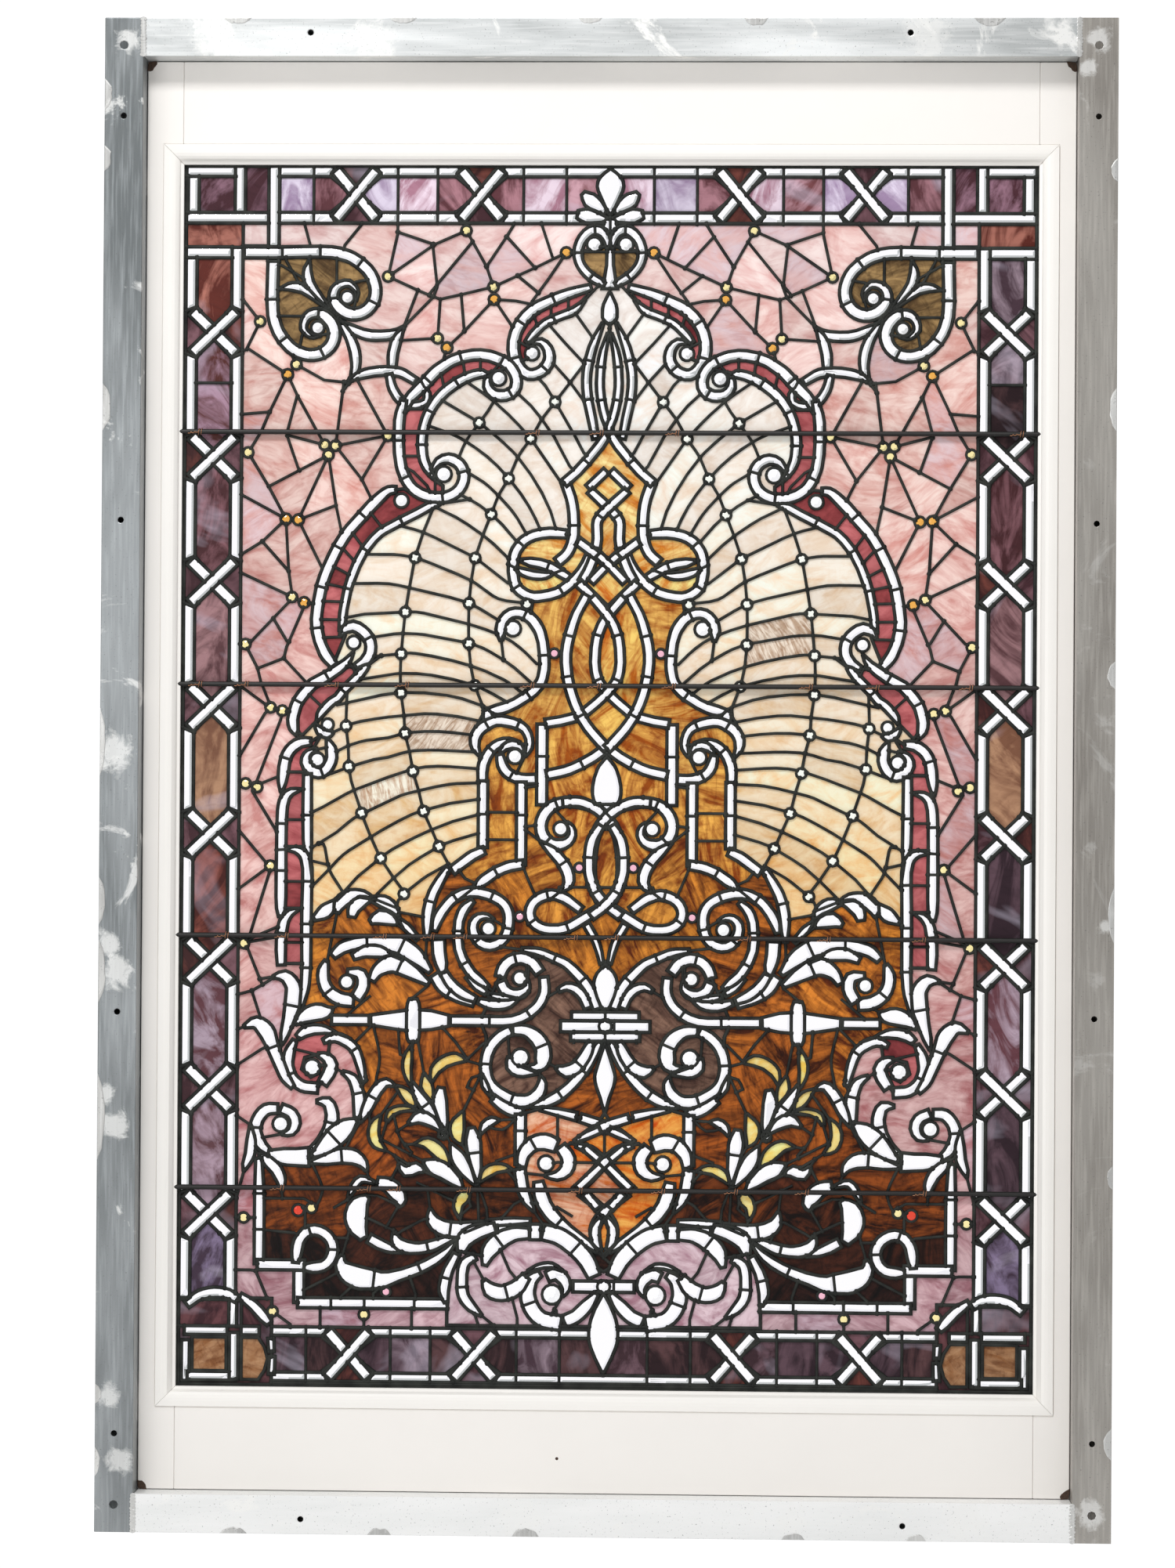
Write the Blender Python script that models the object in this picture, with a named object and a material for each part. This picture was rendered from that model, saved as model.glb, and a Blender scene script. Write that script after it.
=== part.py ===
"""A leaded glass panel in a painted wooden sash, framed in welded aluminium box section.

Metres, +Z up. The front faces -Y. The origin is the middle of the bottom rail's back face, where the frame
is fixed. The panel's own design is drawn in millimetres: x from the centre line, z up from the foot of
the sight edge.
"""
import math

import bmesh
import bpy
import numpy as np
from mathutils import Vector
from mathutils.geometry import delaunay_2d_cdt

MM = 0.001
GAP = 0.3 * MM

# Sight opening, inside the beads
SIGHT_W = 1092 * MM
SIGHT_H = 1562 * MM

# Aluminium frame
TUBE_FACE = 49 * MM
TUBE_DEPTH = 76 * MM
TUBE_WALL = 3 * MM
SCREW_HOLE = 8 * MM
FIXING_HOLE = 11 * MM
HOLE_SIDES = 8

# Sash and beads
SASH_FIT = 1 * MM
STILE_FACE = 46 * MM
RAIL_FACE = 130 * MM
SASH_THICK = 35 * MM
SASH_INSET = 1 * MM
LIP_THICK = 11 * MM
BEAD_WIDTH = 25 * MM
BEAD_PROUD = 2 * MM
BEAD_EDGE = 6 * MM

# Panel
CAME_DEPTH = 8 * MM
EDGE_COVER = 10 * MM
EDGE_SHOWS = 3 * MM
PANE = 3 * MM
RELIEF = 2.6 * MM
SLOT_FIT = 3 * MM

# Saddle bars; their heights are millimetres on the design's sheet
BAR_DIAMETER = 6.6 * MM
BAR_HEIGHTS = (1220, 897, 576, 254)
BAR_IN_BEAD = 10 * MM
BAR_SIDES = 10

# Derived places
HALF_W = SIGHT_W / 2
SASH_HALF = HALF_W + STILE_FACE
FRAME_HALF = SASH_HALF + SASH_FIT + TUBE_FACE
SASH_FOOT = -RAIL_FACE
SASH_HEAD = SIGHT_H + RAIL_FACE
FRAME_FOOT = SASH_FOOT - SASH_FIT - TUBE_FACE
FRAME_HEAD = SASH_HEAD + SASH_FIT + TUBE_FACE
ORIGIN_Z = FRAME_FOOT + TUBE_FACE / 2
FRAME_FRONT = -TUBE_DEPTH
SASH_BACK = -SASH_INSET
SASH_FRONT = SASH_BACK - SASH_THICK
LIP_FRONT = SASH_BACK - LIP_THICK
CAME_BACK = LIP_FRONT - GAP
CAME_FRONT = CAME_BACK - CAME_DEPTH
PANE_MID = (CAME_BACK + CAME_FRONT) / 2
PANE_BACK = PANE_MID + PANE / 2
PANE_FRONT = PANE_MID - PANE / 2
RELIEF_FRONT = PANE_FRONT - GAP - RELIEF
BEAD_BACK = min(CAME_FRONT, RELIEF_FRONT) - GAP
BEAD_FRONT = SASH_FRONT - BEAD_PROUD
BAR_Y = RELIEF_FRONT - 2 * GAP - BAR_DIAMETER / 2

# The sheet that the panel's design is drawn on, in millimetres, stretched to fill the sight opening
SHEET = (1092, 1562)
TO_SIGHT_X = SIGHT_W / SHEET[0]
TO_SIGHT_Z = SIGHT_H / SHEET[1]

# Border of the panel, millimetres in from the edge of the sheet
SIDE_STRIPS = ((3.5, 16.5), (61.5, 75.5))
HEAD_STRIPS = ((3.5, 14), (60, 74))
FOOT_STRIPS = ((7, 18), (65, 76))
SIDE_CROSSINGS = (1348, 1188, 1028, 868, 706, 543, 380, 219)
END_CROSSINGS = (327, 165)
CROSSING_REACH = 29
CORNER_RAIL = 1450.5
CORNER_POST = 431
CAME_WIDTH = 5

# Coarseness of the drawn outlines, millimetres
STEP = 3
CHORD = 4.0
WELD = 4.0
SMALL_GAP = 200
PINCH_FILL = 2.5
DISC_SIDES = 6
EASE = 2.2
JEWEL_LEAD = 2.5
BRIDGE_REACH = 25

# Straps of the arch, drawn from the head down
ARCH = [
    [(24, 1407, 8), (55, 1397.5, 12), (99, 1377, 14), (116, 1357, 14), (123, 1332, 14), (117.5, 1307, 14),
     (103, 1295, 13), (87, 1299, 13), (77, 1313, 13), (79, 1328, 11), (88, 1337, 8), (98, 1336, 4)],
    [(32, 1390, 2), (45, 1377, 9), (82, 1361, 9), (106, 1336, 6)],
    [(264, 1247, 8), (256, 1263, 12), (220, 1300, 14), (195, 1315, 13), (165, 1320, 13), (143, 1315, 13),
     (128, 1306, 13), (119, 1290, 13), (121, 1275, 13), (133, 1268, 13), (148, 1270, 12), (156, 1280, 10),
     (155, 1292, 6), (150, 1298, 3)],
    [(153, 1293, 3), (162, 1296, 9), (180, 1292, 11), (200, 1281, 12), (218, 1265, 12), (232, 1243, 11),
     (239, 1215, 11), (238, 1190, 11), (232, 1174, 9), (224, 1162, 4)],
    [(263, 1262, 8), (268, 1240, 12), (268, 1190, 12), (263, 1168, 12), (250, 1148, 13), (230, 1138, 13),
     (207, 1138, 13), (191, 1148, 13), (185, 1165, 13), (191, 1180, 13), (205, 1187, 12), (218, 1183, 9),
     (226, 1172, 4)],
    [(272, 1147, 8), (281, 1146, 10), (300, 1130, 13), (334, 1092, 13), (346, 1073, 13), (363, 1035, 13),
     (371, 1000, 13), (373, 981, 13), (371.5, 964, 13), (367, 948, 13), (360, 934, 13), (350, 922, 10)],
    [(216, 1129, 3), (226, 1127, 9), (265, 1107, 10), (292, 1092, 10), (308, 1075, 10), (320, 1055, 10),
     (333, 1020, 9), (341, 966, 6)],
    [(342, 960, 3), (336, 968, 10), (326, 972, 13), (314, 966, 13), (306, 957, 13), (303, 946, 13),
     (305, 935, 13), (312, 926, 12), (323, 921, 6)],
    [(326, 938, 2), (334, 926, 9), (349, 914, 12), (377, 898, 13), (396, 875.5, 13), (402.5, 852, 13),
     (401, 841, 11), (397, 833, 4)],
    [(306, 922, 4), (311, 918, 9), (345, 880, 10), (353, 875, 10), (368, 858, 8), (371, 851, 3)],
    [(358, 827, 3), (353.5, 816, 12), (352, 804, 13), (355.5, 794, 13), (361, 787, 13), (369, 784, 13),
     (379, 788, 13), (385.5, 798, 12), (384, 807, 9), (378, 812, 6), (371, 814, 3)],
    [(379, 824, 9), (392, 823, 12), (402, 817, 13), (409, 808, 13), (415.5, 772, 10), (416.5, 760, 3)],
    [(392, 762.5, 2), (403, 760, 8), (411, 753, 11), (414.5, 741.5, 12), (416, 690, 12), (416, 610, 11),
     (416, 600, 6)],
    [(383, 783, 10), (383, 760, 11), (383, 720, 11), (382, 690, 10), (380, 674, 4)],
    [(409, 686, 2), (398, 686, 8), (388, 680, 11), (383.5, 669, 12), (383, 620, 12), (383, 560, 12),
     (385, 505, 9), (390, 480, 3)],
    [(393, 609.5, 2), (403, 605.5, 8), (411, 596, 11), (415.5, 572, 12), (415, 538, 10)],
]

# The frame of straps round the middle
MIDDLE = [
    [(136, 955, 4), (137, 968, 12), (133, 981, 12), (124, 989, 12), (112.5, 990, 12), (99.5, 984, 13),
     (88.5, 970, 13), (83, 953, 12), (81, 918, 12), (85, 902, 12), (95, 889.5, 12), (122, 872, 12),
     (141, 866, 12), (155, 865, 4)],
    [(163, 808, 3), (168, 817, 9), (169, 828, 12), (164, 839, 13), (154, 847, 13), (142, 852, 12),
     (128, 851, 12), (114, 847, 11), (105, 841, 10), (99.5, 829, 9), (99.5, 818, 8), (104, 808, 3)],
    [(159, 775, 11), (159, 790, 12), (156, 802, 12), (148, 815, 11), (138, 823, 10), (125, 826.5, 7),
     (112, 824, 3)],
    [(137, 809, 8), (134, 796, 12), (127.5, 786, 12), (116, 779.5, 12), (103, 777.5, 12), (90, 778, 12)],
    [(83, 848, 13), (83, 745, 13)],
    [(79, 849, 11), (60, 852, 11), (40, 857, 11)],
    [(77, 783, 12), (48, 790, 12), (17, 806, 12)],
    [(158, 775, 12), (158, 690, 12)],
    [(109, 774, 12), (109, 668, 12)],
    [(156, 686.5, 10), (170, 680, 12), (197, 660, 12)],
    [(106, 669, 11), (122, 666.5, 12), (141, 659, 12), (159, 646, 12), (168, 639, 5)],
    [(202, 664, 7), (215, 643, 11), (223, 626, 12), (228, 603, 12), (229, 572, 5)],
    [(219, 583, 6), (215, 598, 12), (206, 613, 12), (193, 626, 12), (174, 633, 12), (152, 630, 12),
     (135, 622, 12), (127.5, 614, 12), (124.5, 606, 12), (124, 594, 12), (127, 580, 12), (134, 570, 12),
     (148, 564.5, 12), (160, 568, 12), (168.5, 581, 12), (169, 593, 11), (162, 601, 9), (152, 602, 6),
     (144, 598, 3)],
    [(170, 622, 6), (181.5, 611, 11), (187.5, 596, 11), (188.5, 566, 11), (186, 555, 11), (180, 542, 11),
     (170.5, 528.5, 11), (150, 512, 5)],
    [(214, 572, 16), (210, 541, 14), (208, 530, 8)],
    [(10, 741, 11), (47, 749, 12), (58, 748, 12), (70, 743, 13), (80, 732, 14), (84, 718, 14),
     (80, 704, 14), (70, 695, 14), (59, 694, 13), (49, 698, 11), (43.5, 707, 9), (45, 716, 7),
     (50, 722, 3)],
    [(83, 697, 3), (70, 686.5, 11), (58.5, 675, 13), (50, 661, 14), (47.5, 648, 13), (51, 640.5, 9),
     (57.5, 635, 2)],
    [(10, 612, 11), (49, 588.5, 12), (66, 585.5, 12), (83, 588, 12), (94, 596, 12), (97.5, 607, 12),
     (94, 618, 12), (85, 626, 12), (69.5, 630.5, 12), (53, 626, 12), (32, 611, 10)],
]

# The interlace up the middle; where it crosses the centre line, x is negative
KNOT = [
    [(53, 1091, 10), (75, 1092.5, 12), (95, 1089, 12), (108, 1082, 12), (117.5, 1070, 12),
     (121.5, 1055, 12), (121, 1037, 12), (117, 1023, 12), (106, 1014, 12), (95, 1010.5, 12), (80, 1012, 12),
     (65, 1016, 12), (50, 1026, 12), (30, 1049, 12), (24, 1064, 10)],
    [(118, 1047, 4), (108, 1042, 9), (95, 1038.5, 10), (80, 1038, 8), (70, 1041, 3)],
    [(111, 1057, 4), (100, 1055, 10), (87, 1053, 11), (72, 1048, 11), (50, 1035, 9)],
    [(55, 1157, 12), (47, 1133, 12), (44, 1108, 12), (45, 1085, 12), (52, 1067, 12), (65, 1055, 12)],
    [(2, 1219, 10), (25, 1188, 11), (40, 1171, 11), (57, 1156, 11)],
    [(3, 1172, 10), (14, 1161, 10), (26, 1150, 10)],
    [(24, 1147, 10), (-6, 1119, 11), (-14, 1108, 11), (-14, 1085, 11), (-18, 1063, 11), (-26, 1043, 11),
     (-34, 1030, 10)],
    [(39, 1082, 11), (20, 1068, 11), (0, 1053, 11)],
    [(-13, 1065, 10), (9, 1044, 10), (22, 1030, 10)],
    [(38, 1029, 11), (20, 1012, 11), (3, 995, 11)],
    [(-20, 1011, 11), (5, 980, 11), (12.5, 962, 11), (15.5, 945, 11), (16, 922, 11), (12, 905, 11),
     (3, 892, 11), (-30, 862, 11)],
    [(27, 1013, 11), (40, 989, 11), (49, 961, 12), (53, 938, 12), (52, 915, 12), (47, 891, 12),
     (39, 869, 12), (28, 849, 12), (0, 817, 12)],
    [(56, 748, 12), (35, 749, 12), (13, 740, 12), (-2, 727, 12), (-13, 710, 12), (-18, 690, 12),
     (-20, 667, 12), (-18, 645, 12), (-8, 624, 12)],
    [(7, 719, 9), (18, 701, 12), (22, 678, 12), (21, 656, 12), (13, 634, 12), (0, 618, 12), (-19, 603, 11)],
    [(25, 593, 9), (13, 572, 8), (5, 543, 5)],
    [(9, 1360, 3), (18, 1340, 8), (25, 1318, 10), (29, 1293, 10), (28, 1268, 10), (17, 1213, 8)],
    [(2, 1347, 3), (9, 1320, 8), (12, 1290, 9), (11, 1268, 9), (5, 1240, 9), (-2, 1222, 8)],
]

# Scrolls, leaves and straps of the lower half
LOWER = [
    [(107, 560, 5), (85, 557, 9), (50, 542, 11), (25, 517, 12), (16, 502, 12), (10, 485, 11)],
    [(135, 525, 12), (131, 536, 14), (122, 545.5, 14), (108, 549, 14), (94, 543.5, 14), (84, 531, 13)],
    [(79, 525, 11), (78, 506, 12), (84.5, 491, 12), (98, 478, 12), (112.5, 471, 12), (126, 468.5, 12),
     (160, 468.5, 12), (198, 468.5, 12)],
    [(300, 468.5, 13), (270, 468.5, 22), (254, 468.5, 26)],
    [(397, 442, 6), (404, 426, 12), (405.5, 409, 13), (400, 394, 13), (387, 383.5, 13), (367, 381, 13)],
    [(425, 523, 3), (411, 524, 14), (400, 512, 18), (399.5, 492, 20), (410, 450, 10), (413.5, 437, 3)],
    [(462, 459, 4), (447, 464, 15), (434, 454, 20), (416, 411, 13), (408, 393, 11), (399, 382, 6)],
    [(418, 354.5, 12), (433, 353, 14), (444, 340, 14), (446.5, 325, 14), (440, 309, 13), (428, 298, 8)],
    [(430, 296, 10), (411, 293.5, 20), (378, 293, 24)],
    [(317, 341, 4), (328, 333, 20), (342, 321, 26), (357, 307, 20), (374, 294, 5)],
    [(376, 286, 4), (336, 295, 19), (319, 293, 18), (308, 285, 11), (304, 276, 3)],
    [(442, 291, 8), (441, 250, 12), (441, 156, 12)],
    [(394, 158, 8), (390, 185, 13), (382, 196, 13), (370, 200, 13), (358, 196, 13), (349, 187, 13),
     (346, 175, 13), (350, 162, 13), (359, 154, 13), (372, 152, 13), (383, 152, 8)],
    [(391, 107, 13), (199, 107, 13)],
    [(302, 243, 6), (312, 234, 22), (317, 220, 28), (315, 205, 24), (307, 190, 10)],
    [(334, 168, 4), (336, 157, 14), (328, 147, 24), (314, 140, 28), (283, 137, 20), (245, 148.5, 13),
     (211, 166, 11), (200, 175, 8), (189, 188, 3)],
    [(268, 197, 5), (264, 185, 14), (252, 179, 15), (236, 178, 13), (220, 181, 13), (178, 198, 2)],
    [(222, 228, 3), (219, 214, 15), (208, 205, 19), (190, 201.5, 19), (152, 206, 15)],
    [(120, 457, 12), (133, 450, 13), (146, 436, 13), (152, 419, 13), (152, 403, 13), (145, 387, 12),
     (130, 374, 14), (113, 367, 15), (96, 368, 15), (84, 378, 14), (80, 390, 10), (82, 398, 3)],
    [(118, 457, 12), (102, 456.5, 14), (87, 447, 18), (79, 432, 19), (80, 418, 19), (86, 410, 12),
     (97, 411, 3)],
    [(94, 360, 3), (76, 365, 11), (57, 375, 13), (34, 397, 12), (21, 415, 11), (6, 442, 6)],
    [(43, 475.5, 11), (-43, 475.5, 11)],
    [(57, 462.5, 14), (-57, 462.5, 14)],
    [(44, 449.5, 11), (-44, 449.5, 11)],
    [(36, 311, 5), (19, 305, 11), (0, 289, 12), (-36, 253, 12)],
    [(30, 251, 11), (9, 234.5, 11), (-6, 218, 12), (-12, 203, 12), (-9, 187, 10), (-4, 178, 3)],
    [(84, 264, 12), (81, 248, 17), (76, 235, 17), (65, 220, 16), (21, 186, 9), (8, 175, 3)],
    [(106, 283, 11), (103, 299, 15), (91, 312, 18), (76, 315, 20), (61, 310, 17)],
    [(81, 147, 8), (92, 139, 15), (97, 121, 18), (92, 103, 19), (79, 89, 19), (54, 84, 19)],
    [(78, 200, 20), (58, 195, 21), (36, 180, 21), (21, 163, 20), (12, 144, 16)],
    [(152, 157, 6), (147, 174, 18), (134, 188, 21), (115, 197, 17), (95, 198, 13)],
    [(153, 138, 5), (145, 126, 18), (130, 121.5, 19), (112, 128, 19), (99, 143, 12)],
    [(164, 168, 9), (177, 160, 12), (181, 140, 12), (179, 118, 13), (168, 103, 11), (156, 93, 3)],
    [(39, 131, 14), (-39, 131, 14)],
    [(349, 550, 9), (338, 560, 14), (320, 566, 15), (290, 567, 18), (266, 565, 22), (243, 551, 20),
     (224, 531, 6)],
    [(299, 519, 8), (291, 532, 15), (272, 541, 22), (249, 531, 18), (226, 516, 6)],
    [(357, 544, 5), (361, 532, 13), (360.5, 518, 14), (354, 505, 15), (340, 495.5, 16), (322, 493, 15)],
]

# Discs: jewels in their lead rings (x, z, r)
EYES = [
    (336, 1393, 8.5), (374, 1354, 8.5), (99, 1322, 9), (141.5, 1290, 9.5), (211, 1167, 10), (265, 1133, 9),
    (325, 951, 8.5), (357.5, 846, 7.5), (370.5, 801, 9), (121, 970, 10), (117.5, 806.5, 9.5), (58.5, 714.5, 9),
    (150, 586.5, 9), (109.5, 523.5, 9), (374.5, 407.5, 10.5), (414.5, 335, 10), (108, 422.5, 11),
    (74.5, 287.5, 10), (66, 120.5, 12.5), (331, 517, 9), (20.2, 1461.5, 9.5),
]

# Finial, bulbs and drops on the centre line
CENTRE = [
    [(0, 1557, 1), (0, 1545, 30), (0, 1528, 28), (0, 1500, 5)],
    [(6, 1502, 6), (20, 1514, 18), (34, 1526, 3)],
    [(4, 1492, 6), (22, 1493, 14), (38, 1498, 18), (44, 1502, 3)],
    [(3.5, 1456, 3), (4, 1466, 8), (9, 1476, 11), (19.5, 1480.5, 12), (30, 1475, 12), (38, 1464, 11),
     (41, 1451, 11), (39.5, 1440, 10), (34, 1430, 10), (24, 1420, 10), (7, 1410, 6)],
    [(0, 1458, 4), (0, 1440, 9), (0, 1400, 12), (0, 1373, 19), (0, 1361, 4)],
    [(0, 806, 3), (0, 795, 20), (0, 775, 34), (0, 758, 36), (0, 745, 28)],
    [(0, 712, 3), (0, 690, 16), (0, 660, 16), (0, 640, 3)],
    [(0, 543, 3), (0, 532, 20), (0, 518, 30), (0, 470, 9)],
    [(0, 440, 3), (0, 399, 26), (0, 386, 22), (0, 354, 3)],
    [(0, 121, 3), (0, 102, 22), (0, 83, 35), (0, 64.5, 37), (0, 46, 26), (0, 22, 4)],
]

# The heart-shaped bracket in each head corner: one side, mirrored about the corner's diagonal
BRACKET = [
    [(474, 1450.5, 14), (420, 1450.5, 14), (367, 1451.5, 14), (347, 1449.5, 14), (330, 1443.5, 14),
     (315.5, 1433.5, 14), (306.5, 1423, 14), (301, 1409.5, 14), (300, 1398, 14), (303, 1387, 14.5),
     (310.5, 1377.5, 15), (320, 1372.5, 15), (330, 1371.5, 15), (341.5, 1375.5, 15), (350, 1383.5, 14),
     (354, 1392, 12), (352, 1403, 11), (344.5, 1409.5, 9), (334, 1411, 8)],
    [(385, 1441.5, 1), (387.5, 1431, 8), (387.5, 1421, 11), (385, 1411.5, 11), (359, 1378.5, 2)],
    [(341.5, 1360, 4), (328, 1351.5, 10), (310.5, 1345, 12), (293, 1344, 12), (270, 1349.5, 8),
     (262, 1357, 1)],
]
DIAGONAL_SHIFT = 1019

# Heavy leads between the straps and the border
LEADS = [
    [(272, 1490), (284, 1420), (217, 1391), (149, 1407), (56, 1451)],
    [(220, 1391), (213, 1316)],
    [(472, 1327), (412, 1294), (334, 1284)],
    [(412, 1294), (364, 1204), (269, 1216)],
    [(472, 1140), (413, 1109), (389, 1002)],
    [(472, 895), (398, 864)],
    [(472, 780), (412, 785)],
    [(472, 635), (414, 668)],
    [(50, 1178), (100, 1255), (124, 1277)],
    [(66, 1094), (117, 1190), (215, 1262)],
    [(128, 1028), (268, 1101)],
    [(165, 852), (234, 860.5), (334, 844.5)],
    [(165, 790.5), (256.5, 787), (376, 734)],
    [(165, 708), (223, 685.5), (293, 629.5)],
]


def material(name, color, roughness, metallic=0.0, alpha=1.0):
    made = bpy.data.materials.new(name)
    made.use_nodes = True
    shader = made.node_tree.nodes["Principled BSDF"]
    shader.inputs["Base Color"].default_value = (*color, 1)
    shader.inputs["Roughness"].default_value = roughness
    shader.inputs["Metallic"].default_value = metallic
    shader.inputs["Alpha"].default_value = alpha
    return made


def add_object(name, bm, mat):
    """An object from a bmesh that is drawn in the panel's own heights, brought down to the frame's origin."""
    bmesh.ops.translate(bm, verts=bm.verts, vec=(0, 0, -ORIGIN_Z))
    bmesh.ops.recalc_face_normals(bm, faces=bm.faces)
    mesh = bpy.data.meshes.new(name)
    bm.to_mesh(mesh)
    bm.free()
    made = bpy.data.objects.new(name, mesh)
    bpy.context.scene.collection.objects.link(made)
    if mat:
        mesh.materials.append(mat)
    return made


def box_mesh(low, high):
    bm = bmesh.new()
    bmesh.ops.create_cube(bm, size=1)
    for vert in bm.verts:
        for axis in range(3):
            vert.co[axis] = low[axis] if vert.co[axis] < 0 else high[axis]
    return bm


def add_rod(bm, start, end, diameter, sides):
    """A round rod between two points, closed at both ends."""
    start, end = Vector(start), Vector(end)
    turn = Vector((0, 0, 1)).rotation_difference(end - start).to_matrix().to_4x4()
    long, radius = (end - start).length, diameter / 2
    made = bmesh.ops.create_cone(bm, cap_ends=True, segments=sides, radius1=radius, radius2=radius, depth=long)
    bmesh.ops.transform(bm, matrix=turn, verts=made["verts"])
    bmesh.ops.translate(bm, verts=made["verts"], vec=(start + end) / 2)


def cutter(name, bm):
    made = add_object(name, bm, None)
    made.hide_render = True
    made.display_type = "WIRE"
    return made


def cut(target, tool):
    modifier = target.modifiers.new("Cut", "BOOLEAN")
    modifier.operation = "DIFFERENCE"
    modifier.solver = "EXACT"
    modifier.object = tool


def hole_cutter(name, holes, depth):
    """Screw holes through the front wall of a tube: (x, z, diameter)."""
    bm = bmesh.new()
    for x, z, diameter in holes:
        add_rod(bm, (x, FRAME_FRONT - depth, z), (x, FRAME_FRONT + depth, z), diameter, HOLE_SIDES)
    return cutter(name, bm)


def tube(name, low, high, run, holes, mat):
    """A box-section length, open at its ends, with its screw holes."""
    made = add_object(name, box_mesh(low, high), mat)
    inner_low, inner_high = list(low), list(high)
    for axis in range(3):
        if axis == run:
            inner_low[axis] -= TUBE_WALL
            inner_high[axis] += TUBE_WALL
        else:
            inner_low[axis] += TUBE_WALL
            inner_high[axis] -= TUBE_WALL
    cut(made, cutter(name + "_bore", box_mesh(inner_low, inner_high)))
    cut(made, hole_cutter(name + "_holes", holes, TUBE_WALL * 2))
    return made


def outer_frame():
    aluminium = material("aluminium", (0.56, 0.57, 0.58), 0.38, 0.9)
    stile_mid = FRAME_HALF - TUBE_FACE / 2
    near_corner = 35 * MM
    beside = 30 * MM
    corner_down = 125 * MM
    middle_down = 590 * MM
    middle_up = 610 * MM
    spread = 380 * MM
    holes = (
        (FRAME_HEAD - near_corner, FIXING_HOLE),
        (FRAME_HEAD - corner_down, SCREW_HOLE),
        (FRAME_HEAD - TUBE_FACE - middle_down, SCREW_HOLE),
        (FRAME_FOOT + TUBE_FACE + middle_up, SCREW_HOLE),
        (FRAME_FOOT + corner_down, SCREW_HOLE),
        (FRAME_FOOT + near_corner, FIXING_HOLE),
    )
    for side, name in ((-1, "left"), (1, "right")):
        xs = sorted((side * (FRAME_HALF - TUBE_FACE), side * FRAME_HALF))
        low, high = (xs[0], FRAME_FRONT, FRAME_FOOT), (xs[1], 0, FRAME_HEAD)
        placed = [(side * stile_mid, z, size) for z, size in holes]
        tube(f"frame_stile_{name}", low, high, 2, placed, aluminium)
    half = FRAME_HALF - TUBE_FACE - GAP
    for name, foot in (("top", FRAME_HEAD - TUBE_FACE), ("bottom", FRAME_FOOT)):
        low, high = (-half, FRAME_FRONT, foot), (half, 0, foot + TUBE_FACE)
        across = beside if name == "top" else TUBE_FACE - beside
        placed = [(side * spread, foot + across, SCREW_HOLE) for side in (-1, 1)]
        tube(f"frame_rail_{name}", low, high, 0, placed, aluminium)


def sash():
    paint = material("painted_wood", (0.80, 0.78, 0.74), 0.5)
    rebate_half = HALF_W + BEAD_WIDTH
    low = (-rebate_half, SASH_FRONT - BEAD_WIDTH, -BEAD_WIDTH)
    high = (rebate_half, LIP_FRONT, SIGHT_H + BEAD_WIDTH)
    rebate = cutter("sash_rebate", box_mesh(low, high))
    for side, name in ((-1, "left"), (1, "right")):
        xs = sorted((side * HALF_W, side * SASH_HALF))
        stile = box_mesh((xs[0], SASH_FRONT, SASH_FOOT), (xs[1], SASH_BACK, SASH_HEAD))
        made = add_object(f"sash_stile_{name}", stile, paint)
        cut(made, rebate)
    half = HALF_W - GAP
    for name, foot, head in (("top", SIGHT_H, SASH_HEAD), ("bottom", SASH_FOOT, 0)):
        rail = box_mesh((-half, SASH_FRONT, foot), (half, SASH_BACK, head))
        made = add_object(f"sash_rail_{name}", rail, paint)
        cut(made, rebate)


def bead_profile():
    """Section of a bead: distance out from the sight edge, and Y."""
    width = BEAD_WIDTH - GAP
    step = 1.5 * MM
    quirk = width * 0.16
    points = [(0, BEAD_BACK), (0, BEAD_BACK - BEAD_EDGE)]
    hollow = 5
    for k in range(hollow + 1):
        angle = math.pi / 2 * k / hollow
        out = quirk + (width * 0.72 - quirk) * (1 - math.cos(angle))
        rise = (BEAD_BACK - BEAD_EDGE - step) + (BEAD_FRONT - BEAD_BACK + BEAD_EDGE + step) * math.sin(angle)
        points.append((out, rise))
    points += [(width, BEAD_FRONT), (width, BEAD_BACK)]
    return points


def bead(name, corner_a, corner_b, outward, paint):
    """A mitred bead from corner to corner of the sight edge; outward points away from the glass."""
    along = (Vector(corner_b) - Vector(corner_a)).normalized()
    outward = Vector(outward)
    bm = bmesh.new()
    ends = []
    for corner, sign in ((Vector(corner_a), -1), (Vector(corner_b), 1)):
        ring = []
        for out, y in bead_profile():
            place = corner + outward * out + along * sign * (out - GAP / 2)
            ring.append(bm.verts.new((place.x, y, place.z)))
        ends.append(ring)
    count = len(ends[0])
    for k in range(count):
        n = (k + 1) % count
        bm.faces.new((ends[0][k], ends[0][n], ends[1][n], ends[1][k]))
    bm.faces.new(ends[0])
    bm.faces.new(ends[1])
    return add_object(name, bm, paint)


def beads(bar_holes):
    paint = material("painted_bead", (0.82, 0.80, 0.76), 0.45)
    foot_left, foot_right = (-HALF_W, 0, 0), (HALF_W, 0, 0)
    head_left, head_right = (-HALF_W, 0, SIGHT_H), (HALF_W, 0, SIGHT_H)
    bead("bead_bottom", foot_left, foot_right, (0, 0, -1), paint)
    bead("bead_top", head_left, head_right, (0, 0, 1), paint)
    for name, foot, head, out in (("left", foot_left, head_left, -1), ("right", foot_right, head_right, 1)):
        cut(bead(f"bead_{name}", foot, head, (out, 0, 0), paint), bar_holes)


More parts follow.
